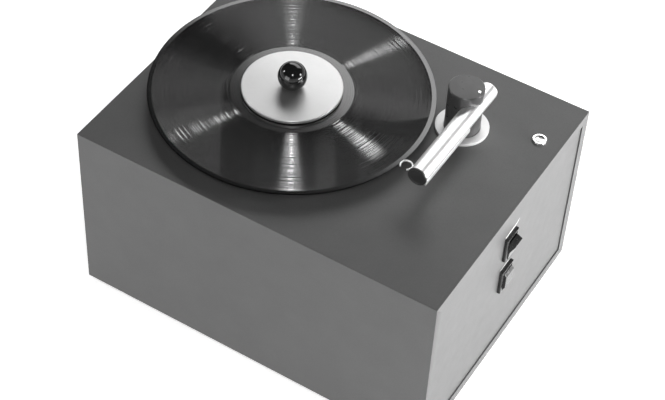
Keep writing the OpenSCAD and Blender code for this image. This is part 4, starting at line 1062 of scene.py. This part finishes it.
# %% The mains inlet
low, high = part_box("mains_inlet")
centre = (low + high) / 2
FLANGE_SIZE = (50 * MM, 28 * MM)
SHELL_SIZE = (28 * MM, 20 * MM)
SHELL_D = 18 * MM
CAVITY_SIZE = (24 * MM, 17 * MM)
CAVITY_D = 15 * MM
SCREW_APART = 40 * MM
SCREW_HOLE_R = 1.7 * MM
BLADE_W = 2 * MM
BLADE_H = 4 * MM
BLADE_PLACES = ((-7 * MM, 0), (0, 4 * MM), (7 * MM, 0))


def back_block(name, start, end, width, height, x=centre.x, z=centre.z):
    """A box from one Y to another, about a centre in X and Z."""
    return block(name, (x - width / 2, start, z - height / 2), (x + width / 2, end, z + height / 2))


flange = back_block("inlet_shell", rear_face, high.y, *FLANGE_SIZE)
bevel_some(flange, 6 * MM, 6, lambda edge: abs(edge.verts[0].co.y - edge.verts[1].co.y) > 1 * MM)
soften(flange, 0.5 * MM, 2, 40)
shell = back_block("shell", rear_face - SHELL_D, rear_face, *SHELL_SIZE)
for piece in (flange, shell):
    cut(piece, back_block("cavity", high.y - CAVITY_D, high.y + 1 * MM, *CAVITY_SIZE))
for side in (-1, 1):
    hole = (centre.x + side * SCREW_APART / 2, rear_face + 2 * MM, centre.z)
    drill(flange, hole, SCREW_HOLE_R, "Y", 8 * MM, 24)
dress(smooth(join("inlet_shell", flange, shell)), "cabinet", "black_plastic", "mains_inlet")
blades = []
for x, z in BLADE_PLACES:
    blade = back_block("blade", low.y, rear_face - 2 * MM, BLADE_W, BLADE_H, centre.x + x, centre.z + z)
    blades.append(soften(blade, 0.3 * MM, 2, 40))
dress(join("inlet_blades", *blades), "cabinet", "bright_steel")

# %% [markdown]
# The drain is turned in one outline: a stem through the board, a flange, the valve and a barbed spigot for a
# hose. A short tower on the valve carries the lever, which is a flat blade on a round boss.

# %% The drain and its lever
low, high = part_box("drain_fitting")
FLANGE_R = 14 * MM
FLANGE_T = 3 * MM
VALVE_R = 9 * MM
VALVE_L = 20 * MM
SPIGOT_R = 5 * MM
BARB = 0.7 * MM
BORE_R = 2 * MM
BARBS = 4
BARB_APART = 4.6 * MM
TOWER_R = 4.5 * MM
TOWER_BORE_R = 2.6 * MM
TOWER_H = 11 * MM
TOWER_OUT = 13 * MM
inside = rear_face - low.y
valve_start = inside + FLANGE_T
spigot_start = valve_start + VALVE_L
spigot_end = high.y - low.y
drain_outline = [
    (BORE_R, 0), (DRAIN_STEM_R, 0), (DRAIN_STEM_R, inside), (FLANGE_R, inside),
    (FLANGE_R, valve_start - 0.8 * MM), (FLANGE_R - 0.8 * MM, valve_start), (VALVE_R, valve_start),
    (VALVE_R, spigot_start - 1 * MM), (VALVE_R - 1 * MM, spigot_start), (SPIGOT_R - BARB, spigot_start),
]
for barb in range(BARBS):
    start = spigot_start + barb * BARB_APART + 1.2 * MM
    drain_outline.append((SPIGOT_R, start))
    drain_outline.append((SPIGOT_R - BARB, start + 3.6 * MM))
drain_outline.append((SPIGOT_R - 1.2 * MM, spigot_end))
drain_outline.append((BORE_R, spigot_end))
drain = turned("drain_body", drain_outline, 64, closed=True)
put(drain, (drain_x, low.y, drain_z), "Y")
tower_y = rear_face + TOWER_OUT
tower_outline = [(TOWER_BORE_R, 0), (TOWER_R, 0), (TOWER_R, TOWER_H), (TOWER_BORE_R, TOWER_H)]
tower = put(turned("tower", tower_outline, 48, closed=True), (drain_x, tower_y, drain_z))
dress(smooth(join("drain_body", drain, tower)), "cabinet", "black_plastic", "drain_fitting")

low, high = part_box("drain_lever")
LEVER_W = 8 * MM
LEVER_DOWN = 4 * MM
PIVOT_R = 2.5 * MM
BOSS_R = 5 * MM
lever = block(
    "lever_blade", (drain_x - LEVER_W / 2, tower_y - LEVER_W / 2, high.z - LEVER_DOWN),
    (high.x, tower_y + LEVER_W / 2, high.z - 1 * MM),
)
bevel_some(
    lever, 3.5 * MM, 6,
    lambda edge: all(v.co.x > high.x - FIT for v in edge.verts) and edge.calc_length() < 4 * MM,
)
soften(lever, 0.5 * MM, 3, 40)
boss_h = high.z - low.z
boss_outline = [
    (PIVOT_R, 0), (PIVOT_R, boss_h - LEVER_DOWN), (BOSS_R, boss_h - LEVER_DOWN), (BOSS_R, boss_h - 0.6 * MM),
    (BOSS_R - 0.6 * MM, boss_h),
]
boss = put(turned("boss", boss_outline, 48), (drain_x, tower_y, low.z))
dress(smooth(join("tap_lever", lever, boss)), "tap", "lever_red", "drain_lever")

# %% [markdown]
# The remaining nodes keep the shape that the construction gave them. Their slots say which finish they take,
# so one loop dresses them all.

# %% Finishes for the nodes that stay
node_slots = {
    "inner_wood": ["corner_posts"],
    "steel": ["foot_screws", "spindle_circlip", "motor_screws", "suction_pipe"],
    "mat": ["platter_mat"],
    "bright_steel": ["spindle", "motor_shaft", "blower_shaft"],
    "alloy": [
        "bearing_housing", "driven_pulley", "motor_pulley", "motor_bracket", "arm_sleeve", "stop_collar",
    ],
    "bronze": ["bearing_bushes"],
    "rubber": ["drive_belt", "clamp_gasket", "pipe_seal", "blower_mount", "suction_hose"],
    "motor_grey": ["drive_motor", "blower_motor"],
    "tank_plastic": ["swing_bush", "waste_tank", "tank_lid"],
    "black_plastic": ["impeller", "fan_housing"],
    "circuit_green": ["supply_board"],
}
for slot, nodes in node_slots.items():
    for node in nodes:
        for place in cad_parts[node].material_slots:
            place.material = finishes[slot].material
print(sum(len(nodes) for nodes in node_slots.values()), "nodes keep their shape and get a finish")

# %% [markdown]
# Above each switch is a small white tapered streak, a painted glint: white paint that stands for the light
# that the bezel's glossy top edge throws onto the panel. It has no lettering. The paint has almost no
# thickness, so the streak is an outline in millimetres, pushed out by a few hundredths.

# %% The painted glints above the switches
GLINT_FILM = 0.04 * MM
painted_glint_outlines = {
    "vacuum_switch": [
        (-11, 17.1), (2, 17.6), (12, 18.2), (17, 20.2), (19, 22.4), (15.6, 20.6), (11, 19.6), (2, 19.1),
        (-11, 17.9),
    ],
    "direction_switch": [(-11, 17.1), (2, 17.5), (13, 17.2), (2, 18.5), (-11, 17.7)],
}
# Each outline is painted light, a glint off a bezel's top edge, laid on the panel as white paint.
for switch, outline in painted_glint_outlines.items():
    glint = drawn(switch + "_mark", outline, GLINT_FILM)
    glint.rotation_euler = (0, 0, pi / 2)
    glint.location = (panel_x + GLINT_FILM / 2, middle(switch).y, middle(switch).z)
    dress(settle(glint, glint.name), "cabinet", "tank_plastic", finish="painted_glint_white")

# %% [markdown]
# The studio is a pale floor in a plain bright surround. The floor looks white to the camera and to anything
# glossy, and still takes the machine's soft shadow near its foot. Further off it is white by itself.

# %% The floor
CAMERA_GLOW = 0.6
GLOSSY_GLOW = 1.0
WHITE_FROM = 1.2
WHITE_BY = 3.0
bpy.ops.object.select_all(action="DESELECT")
bpy.ops.mesh.primitive_plane_add(size=40, location=(0, 0, cad_low.z))
floor = settle(bpy.context.object, "studio_floor")
backdrop = Finish("studio_floor", Roughness=0.9)
pale, paler = (0.80, 0.80, 0.80, 1), (0.82, 0.82, 0.82, 1)
backdrop.shade("Base Color", backdrop.mix(backdrop.noise(0.5, 2), pale, paler))
backdrop.shader.inputs["Emission Color"].default_value = (1, 1, 1, 1)
rays = backdrop.node("ShaderNodeLightPath")
glow = backdrop.ramp(backdrop.vector("LENGTH", backdrop.place), WHITE_FROM, WHITE_BY, CAMERA_GLOW, 1.0)
seen = backdrop.maths("MULTIPLY", rays.outputs["Is Camera Ray"], glow)
mirrored = backdrop.maths("MULTIPLY", rays.outputs["Is Glossy Ray"], GLOSSY_GLOW)
backdrop.shade("Emission Strength", backdrop.maths("MAXIMUM", seen, mirrored))
floor.data.materials.append(backdrop.material)
print("floor lies at", cad_low.z)

# %% [markdown]
# Each lamp has one job. Small soft boxes on the left, by the camera and on the right make the rays on the
# record. Two low ones light the front and the right side. A large back wall stands behind the machine, and
# its upper edge shows in the flat tops: the record, the clamp and the column.


# %% The lamps
def soft_box(name, size, power, place, turn):
    """A lamp with a flat rectangular face, which shines along its own downward axis."""
    data = bpy.data.lights.new(name, "AREA")
    data.shape = "RECTANGLE"
    data.size, data.size_y = size
    data.energy = power
    lamp = bpy.data.objects.new(name, data)
    bpy.context.scene.collection.objects.link(lamp)
    lamp.location = place
    lamp.rotation_euler = turn


MACHINE_MIDDLE = Vector((0, 0, 0.2))
lamps = {
    "left_box": ((-0.82, -0.31, 0.48), 1.6, (0.22, 0.22), 3),
    "camera_box": ((0.33, -0.56, 0.76), 1.75, (0.10, 0.10), 2.6),
    "camera_soft": ((0.33, -0.56, 0.76), 1.85, (0.42, 0.42), 4),
    "right_box": ((0.85, 0.30, 0.44), 1.6, (0.34, 0.34), 7),
    "low_front": ((-0.2, -0.95, 0.25), 1.6, (1.0, 0.7), 8),
    "low_right": ((0.95, 0.12, 0.06), 1.5, (1.2, 0.35), 42),
}
for name, (direction, distance, size, power) in lamps.items():
    place = MACHINE_MIDDLE + Vector(direction).normalized() * distance
    soft_box(name, size, power, place, (-Vector(direction)).to_track_quat("-Z", "Y").to_euler())

WALL_TURN = radians(-11.9)
WALL_TOP = 1.5
WALL_FOOT = 0.7
WALL_W = 1.7
WALL_X = -0.50
WALL_Y = 1.108
WALL_POWER = 15
soft_box(
    "back_wall", (WALL_W, WALL_TOP - WALL_FOOT), WALL_POWER,
    (WALL_X, WALL_Y, (WALL_TOP + WALL_FOOT) / 2), (pi / 2, 0, WALL_TURN + pi),
)
print(len(lamps) + 1, "lamps")

# %% [markdown]
# The surround is bright near the horizon and nearly dark above, as a room with pale walls and an unlit
# ceiling is. A dark curtain stands at the back left, because the far left of the record mirrors it and is
# dark. The camera itself sees plain white.

# %% The surround
HORIZON_LIGHT = 0.9
CEILING_LIGHT = 0.03
CURTAIN_WAY = (-0.94, 0.34, 0)
CURTAIN_LIGHT = 0.08
world = bpy.data.worlds.new("studio")
bpy.context.scene.world = world
world.use_nodes = True
sky = Nodes(world.node_tree)
look = sky.node("ShaderNodeTexCoord").outputs["Generated"]
parts = sky.node("ShaderNodeSeparateXYZ")
sky.feed(parts.inputs["Vector"], look)
fade = sky.ramp(parts.outputs["Z"], 0.18, 0.38, HORIZON_LIGHT, CEILING_LIGHT, "SMOOTHSTEP")
curtain = sky.ramp(sky.vector("DOT_PRODUCT", look, CURTAIN_WAY), 0.82, 0.93, 1, CURTAIN_LIGHT, "SMOOTHSTEP")
camera_ray = sky.node("ShaderNodeLightPath").outputs["Is Camera Ray"]
background = sky.tree.nodes["Background"]
room = sky.maths("MULTIPLY", fade, curtain)
sky.feed(background.inputs["Strength"], sky.maths("MAXIMUM", camera_ray, room))
background.inputs["Color"].default_value = (1, 1, 1, 1)
print("surround ready")

# %% [markdown]
# The Standard view shows each grey as it is written. The dressed machine must stay as large as the
# construction.

# %% View settings
bpy.context.scene.view_settings.view_transform = "Standard"
